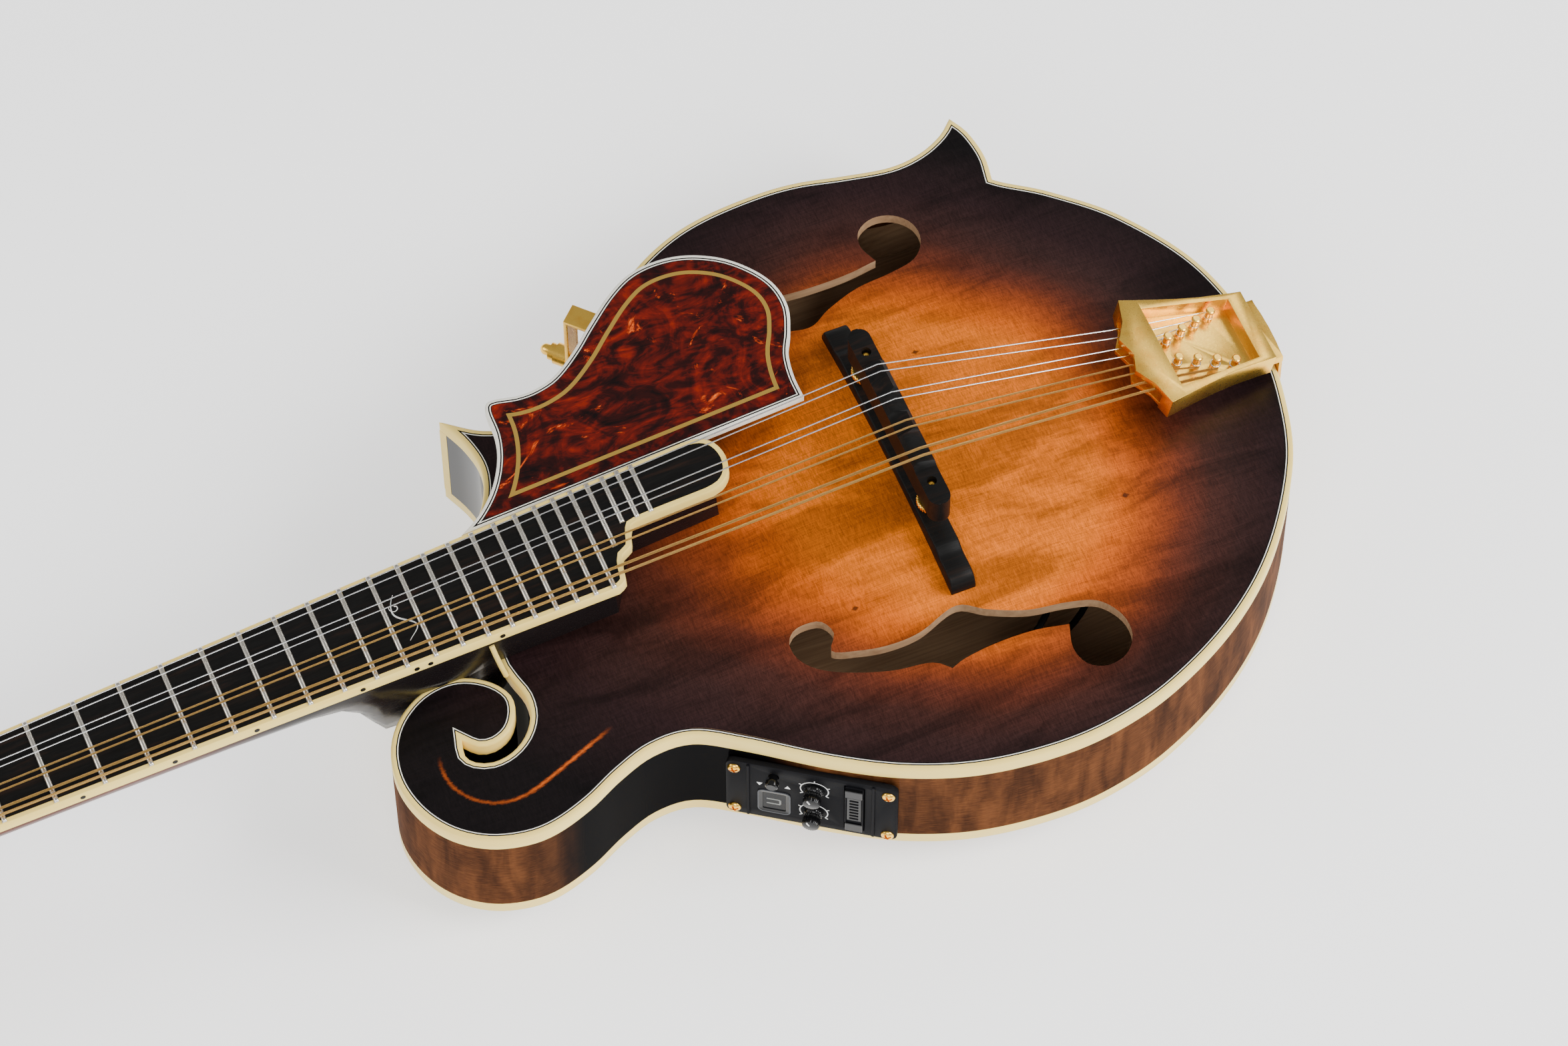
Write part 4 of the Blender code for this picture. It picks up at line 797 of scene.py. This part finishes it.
def round_head(radius, height):
    """A domed, cross-slotted screw head standing on z = 0."""
    dome = [(radius * math.sin(a), height * math.cos(a)) for a in (math.pi / 2 * k / 7 for k in range(8))]
    return turned([(0, height)] + dome[1:] + [(radius, -0.4), (0, -0.4)], 28)


def screw(name, work, radius, height, finish=gold, slot="gold"):
    slots = [place_mesh("slot", block((-radius * 0.68, -radius * 0.16, height * 0.1),
                                      (radius * 0.68, radius * 0.16, height + 1)), work @ turn)
             for turn in (Matrix.Rotation(0.4, 4, "Z"), Matrix.Rotation(0.4 + math.pi / 2, 4, "Z"))]
    head = cut(place_mesh(name, round_head(radius, height), work), slots)
    return piece(name, head, finish, slot, crease=30)


POST_POSITIONS = (38.0, 61.0, 84.0, 107.0)
GEAR_LEVEL = -18.6
WORM_OFFSET = 8.15
for side, name in ((-1, "bass"), (1, "treble")):
    dressed(name + "_tuner_plate", gold, 0.15)
    for number, along in enumerate((29.5, 52.5, 122.5), 1):
        back = Matrix.Translation((side * 22, along, -15.8)) @ Matrix.Rotation(math.pi, 4, "X")
        screw(f"{name}_plate_screw_{number}", head_bench @ back, 1.7, 0.9)
    for number, along in enumerate(POST_POSITIONS, 1):
        post_bench = head_bench @ Matrix.Translation((side * 18.5, along, 0))
        post = turned([(0, 12.5), (2.0, 12.5), (2.4, 12.2), (3.0, 11.0), (3.0, 9.0), (2.45, 8.2), (2.45, 5.4),
                       (3.0, 4.6), (3.0, -17.4), (5.5, -17.4), (5.5, -20.2), (0, -20.2)], 42, 0.0, 0)
        eye = Matrix.Rotation(math.pi / 2, 4, "X") @ Matrix.Translation((0, 7.0, 0))
        post_mesh = cut(place_mesh("post", post, post_bench),
                        (place_mesh("eye", rod(0.7, -6, 6, 16), post_bench @ eye),))
        piece(f"{name}_post_{number}_turned", post_mesh, gold, "gold", f"{name}_post_{number}",
              (f"{name}_string_post_{number}",))
        washer = turned([(0, 1.0), (4.2, 1.0), (4.8, 0.6), (5.0, 0.0), (5.0, -0.5), (0, -0.5)], 32)
        piece(f"{name}_bushing_{number}", place_mesh("bushing", washer, post_bench), gold, "gold")
        axle = Matrix.Translation((side * 20.5, along + WORM_OFFSET, GEAR_LEVEL)) @ Matrix.Rotation(
            math.pi / 2 * side, 4, "Y")
        worm = [(0, 22.0), (1.9, 22.0), (2.1, 20.6), (1.5, 19.4), (1.5, 2.4)]
        for k in range(3):
            worm += [(1.6, 1.9 - 2.6 * k), (2.4, 1.4 - 2.6 * k), (2.4, 1.0 - 2.6 * k), (1.6, 0.5 - 2.6 * k)]
        worm += [(1.5, -5.6), (1.5, -8.6), (0, -8.6)]
        shaft = piece(f"{name}_shaft_{number}", place_mesh("shaft", turned(worm, 24), head_bench @ axle),
                      gold, "gold", f"{name}_button_{number}", (f"{name}_tuner_button_{number}",))
        knob = bmesh.new()
        bmesh.ops.create_uvsphere(knob, u_segments=32, v_segments=20, radius=1.0)
        for vert in knob.verts:
            waist = 1.0 - 0.16 * math.cos(vert.co.z * 2.4)
            vert.co = Vector((vert.co.x * 3.5, vert.co.y * 8.1 * waist * 1.08, vert.co.z * 6.4 + 25.5))
        piece(f"{name}_button_{number}_pearl", place_mesh("knob", knob, head_bench @ axle), pearl, "pearl",
              f"{name}_button_{number}")

# Bridge.
# A two-piece ebony bridge that only string pressure holds down: a base fitted to the arch with
# a brass-posted saddle over it, raised and lowered by two knurled wheels.
BRIDGE_Y = -353.0


def stick(columns, section):
    """A bar along x, lofted through the section (a closed list of (y, z)) at each column."""
    shape = bmesh.new()
    loops = [[shape.verts.new((x, y, z)) for y, z in section(x)] for x in columns]
    for near, far in zip(loops, loops[1:]):
        for k in range(len(near)):
            shape.faces.new((near[k - 1], near[k], far[k], far[k - 1]))
    shape.faces.new(loops[0])
    shape.faces.new(loops[-1])
    return shape


def soft_step(value, start, end):
    share = max(0.0, min(1.0, (value - start) / (end - start)))
    return share * share * (3 - 2 * share)


def base_section(x):
    """The base's cross section: flat on top, a shoulder beyond the saddle, a rounded end."""
    low = arch(x, BRIDGE_Y) + 0.3
    high = 17.5 - 2.1 * soft_step(abs(x), 41.5, 46.5)
    drop = max(0.0, abs(x) - 51.15) / 6.0
    high = low + (high - low) * (0.35 + 0.65 * math.sqrt(max(0.0, 1.0 - drop * drop)))
    ease = min(0.7, (high - low) / 3)
    return ((BRIDGE_Y - 4.5, low), (BRIDGE_Y - 4.5, high - ease),
            (BRIDGE_Y - 4.5 + ease * 0.4, high - ease * 0.3),
            (BRIDGE_Y - 4.5 + ease, high), (BRIDGE_Y + 4.5 - ease, high),
            (BRIDGE_Y + 4.5 - ease * 0.4, high - ease * 0.3), (BRIDGE_Y + 4.5, high - ease),
            (BRIDGE_Y + 4.5, low))


half = 57.15
base_columns = [-half + 2 * half * k / 96 for k in range(97)]
base = place_mesh("base", stick(base_columns, base_section), LAYOUT)
post_holes = [place_mesh("hole", rod(2.1, 13.6, 24), LAYOUT @ Matrix.Translation((x, BRIDGE_Y, 0)))
              for x in (-28.5, 28.5)]
piece("base_block", cut(base, post_holes), ebony, "ebony", nodes=("bridge_base",), crease=40)

CREST = ((-21.6, 1.9), (-9.2, 1.9), (-8.0, -1.7), (-0.8, -1.7), (0.6, 1.8), (8.2, 1.8), (9.4, -1.5),
         (21.6, -1.5))


def crest_line(x):
    """How far the string crest lies off the saddle's middle, course by course."""
    for (x0, y0), (x1, y1) in zip(CREST, CREST[1:]):
        if x0 <= x <= x1:
            return y0 + (y1 - y0) * (x - x0) / (x1 - x0)
    return CREST[0][1] if x < 0 else CREST[-1][1]


def saddle_section(x):
    """The saddle's cross section: low rounded ends, and a crest with its facets between."""
    reach = 4.0 * math.sqrt(max(0.03, 1.0 - (max(0.0, abs(x) - 34.5) / 4.05) ** 2))
    rise = 1.0 - soft_step(abs(x), 22.0, 23.6)
    top = 37.5 + 2.75 * rise
    crest = crest_line(x) * rise
    shoulder = top - 0.25 - 1.6 * rise
    return ((BRIDGE_Y - reach, 26.0), (BRIDGE_Y - reach, shoulder),
            (BRIDGE_Y + min(crest - 0.8, reach - 1.7), top), (BRIDGE_Y + max(crest + 0.8, 1.7 - reach), top),
            (BRIDGE_Y + reach, shoulder), (BRIDGE_Y + reach, 26.0))


saddle_columns = [-38.5 + 0.35 * k for k in range(12)] + [-34.3 + 0.9 * k for k in range(77)]
saddle_columns += [38.5 - 0.35 * k for k in range(11, -1, -1)]
saddle = place_mesh("saddle", stick(sorted(set(saddle_columns)), saddle_section), LAYOUT)
wells = [place_mesh("well", rod(1.75, 25, 45), LAYOUT @ Matrix.Translation((x, BRIDGE_Y, 0)))
         for x in (-28.5, 28.5)]
piece("saddle_bar", cut(saddle, wells), ebony, "ebony", "saddle", ("bridge_saddle",), crease=28)

for side, name in ((-1, "bass"), (1, "treble")):
    work = LAYOUT @ Matrix.Translation((side * 28.5, BRIDGE_Y, 0))
    thread = [(0, 35.0), (0.4, 35.4), (1.1, 35.4)]
    thread += [(1.65 if k % 2 else 1.35, 35.2 - 0.4 * k) for k in range(53)] + [(0, 13.9)]
    piece(name + "_post_thread", place_mesh("thread", turned(thread, 20), work), gold, "gold",
          nodes=(name + "_bridge_post",), crease=50)
    wheel = turned([(1.9, 25.7), (4.8, 25.7), (5.2, 25.3), (5.2, 23.9), (4.8, 23.5), (1.9, 23.5),
                   (1.9, 25.7)],
                   120, 0.28, 30)
    piece(name + "_knurled_wheel", place_mesh("wheel", wheel, work), gold, "gold", name + "_wheel",
          (name + "_thumbwheel",), crease=30)

# Tailpiece.
# A gold-plated casting hooked over the end of the body: a scalloped front lip, a recess with
# eight round pegs for the string loops, and a strap that turns down over the tail.
dressed("tailpiece", gold, 0.45, 32)
PEGS = [(side * (4.6 + 2.1 * k), -15.5 - 6.6 * k) for side in (-1, 1) for k in range(4)]
tail_tilt = math.radians(-11.5)
tail_bench = bench((0, -443.0, 23.0), (1, 0, 0), (0, math.cos(tail_tilt), -math.sin(tail_tilt)))
for number, (x, y) in enumerate(PEGS, 1):
    peg = turned([(0, -0.7), (1.2, -0.7), (1.6, -1.0), (1.75, -1.4), (1.6, -1.8), (1.3, -2.1), (1.3, -5.6),
                  (1.7, -6.4), (0, -6.9)], 24)
    work = tail_bench @ Matrix.Translation((x, y, 0))
    piece(f"loop_peg_{number}", place_mesh("loop_peg", peg, work), gold, "gold", crease=30)

# Output jack and lead.
# A flush, plated jack through the tail block, held by a washer and a ring nut. Inside, a thin
# black lead runs round the bass side to the preamp.
jack = turned([(3.2, 3.2), (6.3, 3.2), (6.8, 3.0), (7.0, 2.6), (7.0, 2.1), (9.2, 2.0), (9.5, 1.8), (9.5, 1.4),
               (5.9, 1.4), (5.9, -24), (4.2, -24), (4.2, -39), (0, -39), (0, -19), (3.2, -19), (3.2, 3.2)], 48)
piece("end_jack", place_mesh("end_jack", jack, jack_bench), gold, "gold", nodes=("output_jack",), crease=32)

lead_black = Finish("lead_jacket", dye(18, 18, 19), 0.45)
lead_black.feed("Roughness", 0.35 + lead_black.noise((0.5, 0.5, 0.5), 3.0) * 0.25)

lead_route = soft_route(((0, -458, -25), (0, -444, -25), (-30, -425, -30), (-62, -395, -31), (-72, -360, -30),
                         (-73, -325, -29), (-72, -308, -30), (-77.2, -307.3, -24)), 60)
piece("jack_lead", place_mesh("jack_lead", wire(lead_route, 1.2), LAYOUT), lead_black, "black_plastic")

# Pickup.
# A small brass disc stuck under the top at the bridge's treble foot, its thin lead looped
# loosely inside the body to the preamp, where it shows through the bass f-hole.
brass = Finish("sensor_brass", dye(206, 168, 92), 0.35, 1.0)
brass.feed("Roughness", 0.25 + brass.noise((0.6, 0.6, 0.6), 3.0) * 0.25)
disc_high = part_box("pickup")[1].z - zero.z
disc_top = disc_high / MM
disc = turned([(0, disc_top), (7.2, disc_top), (7.5, disc_top - 0.3), (7.5, disc_top - 1.7),
               (7.2, disc_top - 2.0),
               (4.0, disc_top - 2.0), (3.8, disc_top - 2.3), (0, disc_top - 2.3)], 40)
piece("pickup_disc", place_mesh("pickup_disc", disc, LAYOUT @ Matrix.Translation((36, BRIDGE_Y, 0))), brass,
      "pickup_brass", nodes=("pickup",))
pickup_route = soft_route(((36, BRIDGE_Y, disc_top - 2), (30, -352, -14), (0, -366, -24), (-40, -392, -25),
                           (-66, -378, -20), (-77, -350, -13), (-73, -322, -13), (-72, -301, -20)), 60)
piece("pickup_lead", place_mesh("pickup_lead", wire(pickup_route, 1.2), LAYOUT), lead_black, "black_plastic")

# Preamp.
# A moulded black panel let into the rib below the waist, with two end flanges, a small display,
# a tuner switch, two tall knobs with printed scales, and a slide-in battery tray.
moulded = Finish("moulded_black", dye(18, 18, 20), 0.5, sheen=0.04)
spark = moulded.noise((5.0, 5.0, 5.0), 2.0, 0.6)
moulded.feed("Base Color", moulded.mix(spark, dye(13, 13, 15), dye(24, 24, 27)))
moulded.feed("Roughness", 0.42 + spark * 0.2)
moulded.bump(spark, 0.02)
dressed("preamp_housing", moulded, 0.35)
gloss_black = Finish("gloss_black", dye(14, 14, 15), 0.12, sheen=0.3)
gloss_black.feed("Roughness", 0.08 + gloss_black.noise((0.8, 0.8, 0.8), 3.0) * 0.12)
print_white = Finish("print_white", dye(235, 235, 232), 0.5)
print_white.feed("Roughness", 0.4 + print_white.noise((2.0, 2.0, 2.0)) * 0.2)


def on_panel(name, shape, finish, body="instrument", nodes=(), rounded=0.0, slot="black_plastic",
             crease=35.0):
    return piece(name, place_mesh(name, shape, panel_bench), finish, slot, body, nodes, rounded, crease)


for name, x in (("near_rib", -22.2), ("far_rib", 21.6)):
    on_panel(name, block((x - 0.5, -17.0, 2.9), (x + 0.5, 17.0, 3.7)), moulded, rounded=0.25)
for number, (x, y) in enumerate(((-27.1, 13.1), (-27.0, -13.9), (26.8, 12.3), (26.7, -14.6)), 1):
    screw(f"panel_screw_{number}", panel_bench @ Matrix.Translation((x, y, 3.0)), 2.35, 1.5)


def rounded_line(x0, y0, x1, y1, radius, steps=6):
    """An anticlockwise rectangle with rounded corners."""
    line = []
    for x, y, start in ((x1 - radius, y0 + radius, -90), (x1 - radius, y1 - radius, 0),
                        (x0 + radius, y1 - radius, 90), (x0 + radius, y0 + radius, 180)):
        for k in range(steps + 1):
            angle = math.radians(start + 90 * k / steps)
            line.append(Vector((x + radius * math.cos(angle), y + radius * math.sin(angle))))
    return line


display_line = rounded_line(-18.9, -13.3, -7.3, 1.5, 2.2)
display_frame = Finish("display_frame", dye(70, 72, 76), 0.4)
display_frame.feed("Roughness", 0.3 + display_frame.noise((1.0, 1.0, 1.0)) * 0.2)
on_panel("display_bezel", ring(display_line, ((0, 2.9), (0, 3.3), (0.5, 3.3), (0.5, 2.9))), display_frame,
         crease=50)
on_panel("display_surround", ring(inset(display_line, 0.5), ((0, 2.2), (0, 3.2), (1.2, 2.95), (1.2, 2.2))),
         gloss_black, crease=20)
display_glass = Finish("display_glass", dye(30, 31, 33), 0.2, sheen=0.1)
display_glass.feed("Base Color", display_glass.mix(display_glass.noise((0.15, 0.15, 0.15)), dye(22, 23, 25),
                                                   dye(38, 39, 40)))
on_panel("display_pane", sheet([inset(display_line, 1.6)], 2.2, 2.7), display_glass)
segment_grey = Finish("segment_grey", dye(128, 130, 126), 0.4)
segment_grey.feed("Roughness", 0.3 + segment_grey.noise((1.0, 1.0, 1.0)) * 0.2)
segments = bmesh.new()
for x0, y0, x1, y1 in ((-15.8, -8.2, -11.0, -7.5), (-15.8, -5.2, -11.0, -4.5), (-11.4, -7.6, -10.7, -5.0)):
    corners = [segments.verts.new((x, y, 2.73)) for x, y in ((x0, y0), (x1, y0), (x1, y1), (x0, y1))]
    under = [segments.verts.new((v.co.x, v.co.y, 2.6)) for v in corners]
    segments.faces.new(corners)
    segments.faces.new(under[::-1])
    for k in range(4):
        segments.faces.new((corners[k - 1], corners[k], under[k], under[k - 1]))
on_panel("display_segments", segments, segment_grey)

knob_profile = [(0, 9.2), (2.3, 9.2), (2.9, 8.9), (3.15, 8.2), (3.2, 6.4), (2.95, 5.9), (2.95, 5.0),
                (3.4, 4.4),
                (3.6, 3.6), (3.6, 3.4), (1.5, 3.4), (1.5, -3.4), (0, -3.4)]
small_profile = [(0, 7.4), (1.8, 7.4), (2.25, 7.0), (2.4, 6.0), (2.4, 5.2), (1.5, 5.2), (1.5, -2.0),
                 (0, -2.0)]
for name, x, y, body, profile in (("volume_knob", 1.0, 7.4, "volume", knob_profile),
                                  ("tone_knob", 0.8, -7.8, "tone", knob_profile),
                                  ("tuner_button", -13.2, 11.4, "tuner_switch", small_profile)):
    work = panel_bench @ Matrix.Translation((x, y, 0))
    teeth = 20 if body != "tuner_switch" else 0
    piece(name + "_cap", place_mesh(name, turned(profile, 80, 0.12, teeth), work), gloss_black,
          "black_plastic",
          body, (name,), crease=30)
    if body != "tuner_switch":
        pointer = block((-0.25, 0.8, 9.0), (0.25, 2.6, 9.32))
        piece(name + "_pointer", place_mesh("pointer", pointer, work @ Matrix.Rotation(0.5, 4, "Z")),
              print_white, "black_plastic", body)
        arc = [(4.9 * math.cos(a), 4.9 * math.sin(a), 3.02)
               for a in (math.radians(-35 + 250 * k / 40) for k in range(41))]
        piece(name + "_scale", place_mesh("scale", wire(arc, 0.2, 6, flat=0.4), work), print_white,
              "black_plastic")
        for number in range(5):
            tick = Matrix.Rotation(math.radians(-35 + 62.5 * number), 4, "Z")
            mark = block((4.9, -0.16, 2.95), (6.1, 0.16, 3.1))
            piece(f"{name}_tick_{number}", place_mesh("tick", mark, work @ tick), print_white,
                  "black_plastic")
for number, (x, y, lean) in enumerate(((-18.2, 5.4, -90), (-8.4, 5.6, 90)), 1):
    corners = [Vector((x + 1.2 * math.cos(math.radians(lean + 120 * k)), y + 1.2 * math.sin(
        math.radians(lean + 120 * k)))) for k in range(3)]
    on_panel(f"triangle_mark_{number}", sheet([corners], 2.95, 3.1), print_white)

dressed("battery_tray", moulded, 0.3)
dressed("battery", steel, 0.3)
for name, finish, low, high in (
        ("tray_clip", gloss_black, (11.9, 9.4, 3.4), (18.1, 14.0, 4.9)),
        ("tray_label", gloss_black, (12.4, -7.6, 3.4), (17.6, 7.8, 3.9)),
        ("tray_foot", gloss_black, (11.9, -14.4, 3.4), (18.1, -9.6, 4.3)),
        ("tray_near_rail", moulded, (11.7, -9.4, 3.4), (12.3, 9.2, 4.3)),
        ("tray_far_rail", moulded, (17.7, -9.4, 3.4), (18.3, 9.2, 4.3))):
    on_panel(name, block(low, high), finish, "battery_drawer", rounded=0.3)
for number in range(7):
    y = -6.4 + 2.0 * number
    rib = block((13.4, y, 3.8), (16.6, y + 0.7, 4.15))
    on_panel(f"tray_grip_{number + 1}", rib, moulded, "battery_drawer", rounded=0.15)

# Pickguard.
# Flame-tortoise celluloid over white and black layers whose scraped edge shows as lines, with
# a thin gold border, held off the top by a plated bracket and a clamp screw at the rib.
GUARD_KNOTS = (
    (22, -199.6, True), (27, -207.6), (35, -215.6), (45, -221.6), (55, -224.6), (65.5, -225.2),
    (68.8, -227), (69, -230.6), (67.5, -237.6), (67.6, -244.6), (70, -252.6), (77, -262.6),
    (85, -271.6), (94, -282.6), (99.5, -292.6), (101, -303.6), (99, -314.6), (93, -325.6),
    (84, -334), (75, -338.4), (65, -339), (55, -335.6), (47, -331.6), (38, -329.8),
    (28.5, -329.6, True),
)
guard_line = smooth_line(GUARD_KNOTS, 2.0)
guard_line.reverse()
tortoise = Finish("flame_tortoise", dye(70, 14, 10), 0.12, coat=0.2, sheen=0.1)
swirl = tortoise.noise((0.045, 0.045, 0.045), 3.0, 0.6, 3.0)
wisps = tortoise.noise((0.12, 0.05, 0.12), 4.0, 0.62, 2.4)
embers = tortoise.noise((0.05, 0.028, 0.05), 5.0, 0.68, 3.4)
ground = tortoise.node("ValToRGB", {"stops": (
    (0.34, dye(16, 8, 8)), (0.46, dye(44, 12, 10)), (0.56, dye(94, 20, 12)), (0.68, dye(140, 34, 16)))},
    {0: swirl * 0.5 + wisps * 0.5})
flames = tortoise.node("ValToRGB", {"stops": (
    (0.0, dye(150, 40, 14)), (0.5, dye(224, 96, 30)), (1.0, dye(248, 176, 88)))},
    {0: tortoise.ease(embers, 0.62, 0.78)})
tortoise.feed("Base Color", tortoise.mix(tortoise.ease(embers, 0.6, 0.68), ground, flames))
tortoise.feed("Roughness", 0.08 + wisps * 0.08)
GUARD_LOW, GUARD_HIGH = 20.2, 23.0
core = place_mesh("guard_core", sheet([inset(guard_line, 2.2)], GUARD_LOW, GUARD_HIGH), LAYOUT)
piece("guard_core", core, tortoise, "tortoise", nodes=("pickguard",))
for name, finish, near, far in (("guard_white_edge", white_line, 0.0, 1.1),
                                ("guard_black_line", black_line, 1.1, 1.6),
                                ("guard_inner_white", white_line, 1.6, 2.0),
                                ("guard_inner_black", black_line, 2.0, 2.3)):
    crown = 0.25 if near == 0.0 else 0.0
    section = ((near, GUARD_LOW), (near, GUARD_HIGH - crown), (near + crown, GUARD_HIGH + 0.02),
               (far, GUARD_HIGH + 0.02), (far, GUARD_LOW))
    if near:
        section = ((near, GUARD_LOW), (near, GUARD_HIGH + 0.02), (far, GUARD_HIGH + 0.02), (far, GUARD_LOW))
    piece(name, place_mesh(name, ring(guard_line, section), LAYOUT), finish, "tortoise", crease=50)
gold_paint = Finish("gold_border", dye(176, 142, 66), 0.5, 0.55)
gold_paint.feed("Roughness", 0.4 + gold_paint.noise((1.5, 1.5, 1.5), 3.0, 0.7) * 0.3)
border = ring(inset(guard_line, 6.6), ((0, GUARD_HIGH - 0.1), (0, GUARD_HIGH + 0.05),
                                       (1.5, GUARD_HIGH + 0.05),
                                       (1.5, GUARD_HIGH - 0.1)))
piece("guard_border", place_mesh("guard_border", border, LAYOUT), gold_paint, "tortoise", crease=50)
dressed("pickguard_bracket", gold, 0.25)
clamp_outward = Vector((0.727, 0.686, 0)).normalized()
clamp_bench = bench((89.6, -272.1, -9.0), (0, 0, 1), clamp_outward.cross(Vector((0, 0, 1))))
clamp = turned([(0, 18.2), (0.8, 18.1), (1.6, 17.5), (2.1, 16.6), (2.2, 14.5), (3.2, 14.4), (3.2, 12.3),
                (4.0, 12.1),
                (4.0, 7.3), (3.8, 7.1), (2.0, 7.1), (2.0, 2.0), (4.5, 1.9), (4.5, 0.4), (0, 0.4)], 48)
piece("guard_clamp", place_mesh("guard_clamp", clamp, clamp_bench), gold, "gold",
      nodes=("pickguard_clamp",), crease=30)

# Strings.
# Four pairs of steel strings, the lower two pairs wound in bronze, from loops on the tailpiece
# pegs over the saddle and the nut to a few turns round the posts.
plain_wire = Finish("plain_string", dye(226, 226, 226), 0.2, 1.0)
plain_wire.feed("Roughness", 0.14 + plain_wire.noise((1.0, 1.0, 1.0)) * 0.16)
wound_wire = Finish("wound_string", dye(222, 178, 104), 0.3, 1.0)
winding = wound_wire.node("TexWave", {"wave_type": "BANDS", "bands_direction": "Y"},
                          {"Vector": wound_wire.place((1.0, 4.0, 1.0)), "Scale": 1.0})
wound_wire.feed("Roughness", 0.24 + winding * 0.14)
wound_wire.bump(winding, 0.05)
back_to_layout = LAYOUT.inverted()
COURSES = (("g", 0.5, -12.6, -18.5, -12.0), ("d", 0.35, -4.2, -6.2, -3.8), ("a", 0.25, 4.2, 6.2, 3.8),
           ("e", 0.25, 12.6, 18.5, 12.0))
for course, (note, radius, at_nut, at_saddle, at_tail) in enumerate(COURSES):
    finish, slot = (wound_wire, "bronze_wound") if note in "gd" else (plain_wire, "steel")
    for which in (0, 1):
        side = -1 if at_nut < 0 else 1
        spread = which - 0.5
        post = (0 if abs(at_nut) > 8 else 2) + (which if side < 0 else 1 - which)
        wrap = 3.0 + 0.3 + radius
        points = []
        for k in range(61):
            angle = math.radians(450 - 7.5 * k)
            spot = Vector((side * (18.5 - wrap * math.cos(angle)), POST_POSITIONS[post] + wrap * math.sin(angle),
                           5.5 + 0.043 * k))
            points.append(back_to_layout @ head_bench @ spot)
        points.append(Vector((at_nut + spread * 2.4, 2.4, 10.3)))
        points.append(Vector((at_saddle + spread * 3.0, -353.5, 41.1)))
        points.append(back_to_layout @ tail_bench @ Vector((at_tail + spread * 3.6, 2.0, -3.6)))
        order = 3 - course * 2 - which if course < 2 else 4 + (course - 2) * 2 + which
        hook = PEGS[order]
        lean = 1.6 + radius
        eye = [hook[0] + math.copysign(lean, hook[0]), hook[1]]
        points.append(back_to_layout @ tail_bench @ Vector((eye[0], eye[1], -4.6)))
        piece(f"{note}_wire_{which + 1}", place_mesh("wire", wire(points, radius, 12), LAYOUT), finish, slot,
              nodes=(f"{note}_string_{which + 1}",), crease=60)
        loop = []
        for k in range(28):
            angle = 2 * math.pi * k / 28
            loop.append(Vector((hook[0] + (1.3 + radius * 0.6 + 0.1) * math.cos(angle),
                                hook[1] + (1.3 + radius * 0.6 + 0.1) * math.sin(angle), -4.4)))
        piece(f"{note}_loop_{which + 1}", place_mesh("loop", wire(loop, radius * 0.6, 8, True), tail_bench),
              plain_wire, "steel", crease=60)

# Table, lights and camera.
# A plain pale table top under the instrument, three soft studio panels, and the camera set back
# on the player's side, looking down over the bass bout.
table = bpy.data.meshes.new("table")
table_shape = bmesh.new()
bmesh.ops.create_grid(table_shape, x_segments=1, y_segments=1, size=6.0)
table_shape.to_mesh(table)
table_shape.free()
table_top = bpy.data.objects.new("table", table)
bpy.context.scene.collection.objects.link(table_top)
pale = Finish("pale_table", dye(252, 252, 252), 0.9)
pale.shader["Emission Color"].default_value = (1.0, 1.0, 1.0, 1.0)
pale.shader["Emission Strength"].default_value = 0.9
table.materials.append(pale.material)

world = bpy.data.worlds.new("studio")
bpy.context.scene.world = world
world.use_nodes = True
world.node_tree.nodes["Background"].inputs["Color"].default_value = (1.0, 1.0, 1.0, 1.0)
world.node_tree.nodes["Background"].inputs["Strength"].default_value = 0.42


def soft_light(name, spot, aim, width, height, power):
    light = bpy.data.lights.new(name, "AREA")
    light.shape = "RECTANGLE"
    light.size = width
    light.size_y = height
    light.energy = power
    lamp = bpy.data.objects.new(name, light)
    bpy.context.scene.collection.objects.link(lamp)
    lamp.location = spot
    lamp.rotation_euler = (Vector(aim) - Vector(spot)).to_track_quat("-Z", "Y").to_euler()


soft_light("tail_panel", (-0.9, -1.4, 1.3), (0.0, -0.2, 0.0), 1.2, 1.0, 44.0)
soft_light("player_panel", (-1.3, 0.5, 1.3), (0.0, -0.1, 0.0), 1.0, 1.0, 20.0)
soft_light("tailpiece_panel", (0.75, -1.4, 1.3), (0.0, -0.28, 0.08), 0.6, 0.5, 3.2)
soft_light("neck_panel", (0.5, 1.5, 1.0), (0.0, -0.1, 0.0), 1.0, 0.8, 10.0)

azimuth, elevation, roll = (math.radians(a) for a in (-112.54, 58.456, -0.267))
back = Vector((math.sin(azimuth) * math.cos(elevation), -math.cos(azimuth) * math.cos(elevation),
               math.sin(elevation)))
right = (-back).cross(Vector((0, 0, 1))).normalized()
up = right.cross(-back)
right, up = right * math.cos(roll) + up * math.sin(roll), up * math.cos(roll) - right * math.sin(roll)
lens = bpy.data.cameras.new("camera")
lens.sensor_width = 36.0
lens.lens = 144.87
lens.clip_start = 0.05
camera = bpy.data.objects.new("camera", lens)
bpy.context.scene.collection.objects.link(camera)
spot = LAYOUT @ (Vector((-3.385, -308.65, 0.0)) + back * 2191.45)
camera.matrix_world = Matrix.Translation(spot) @ Matrix((right, up, back)).transposed().to_4x4()
bpy.context.scene.camera = camera
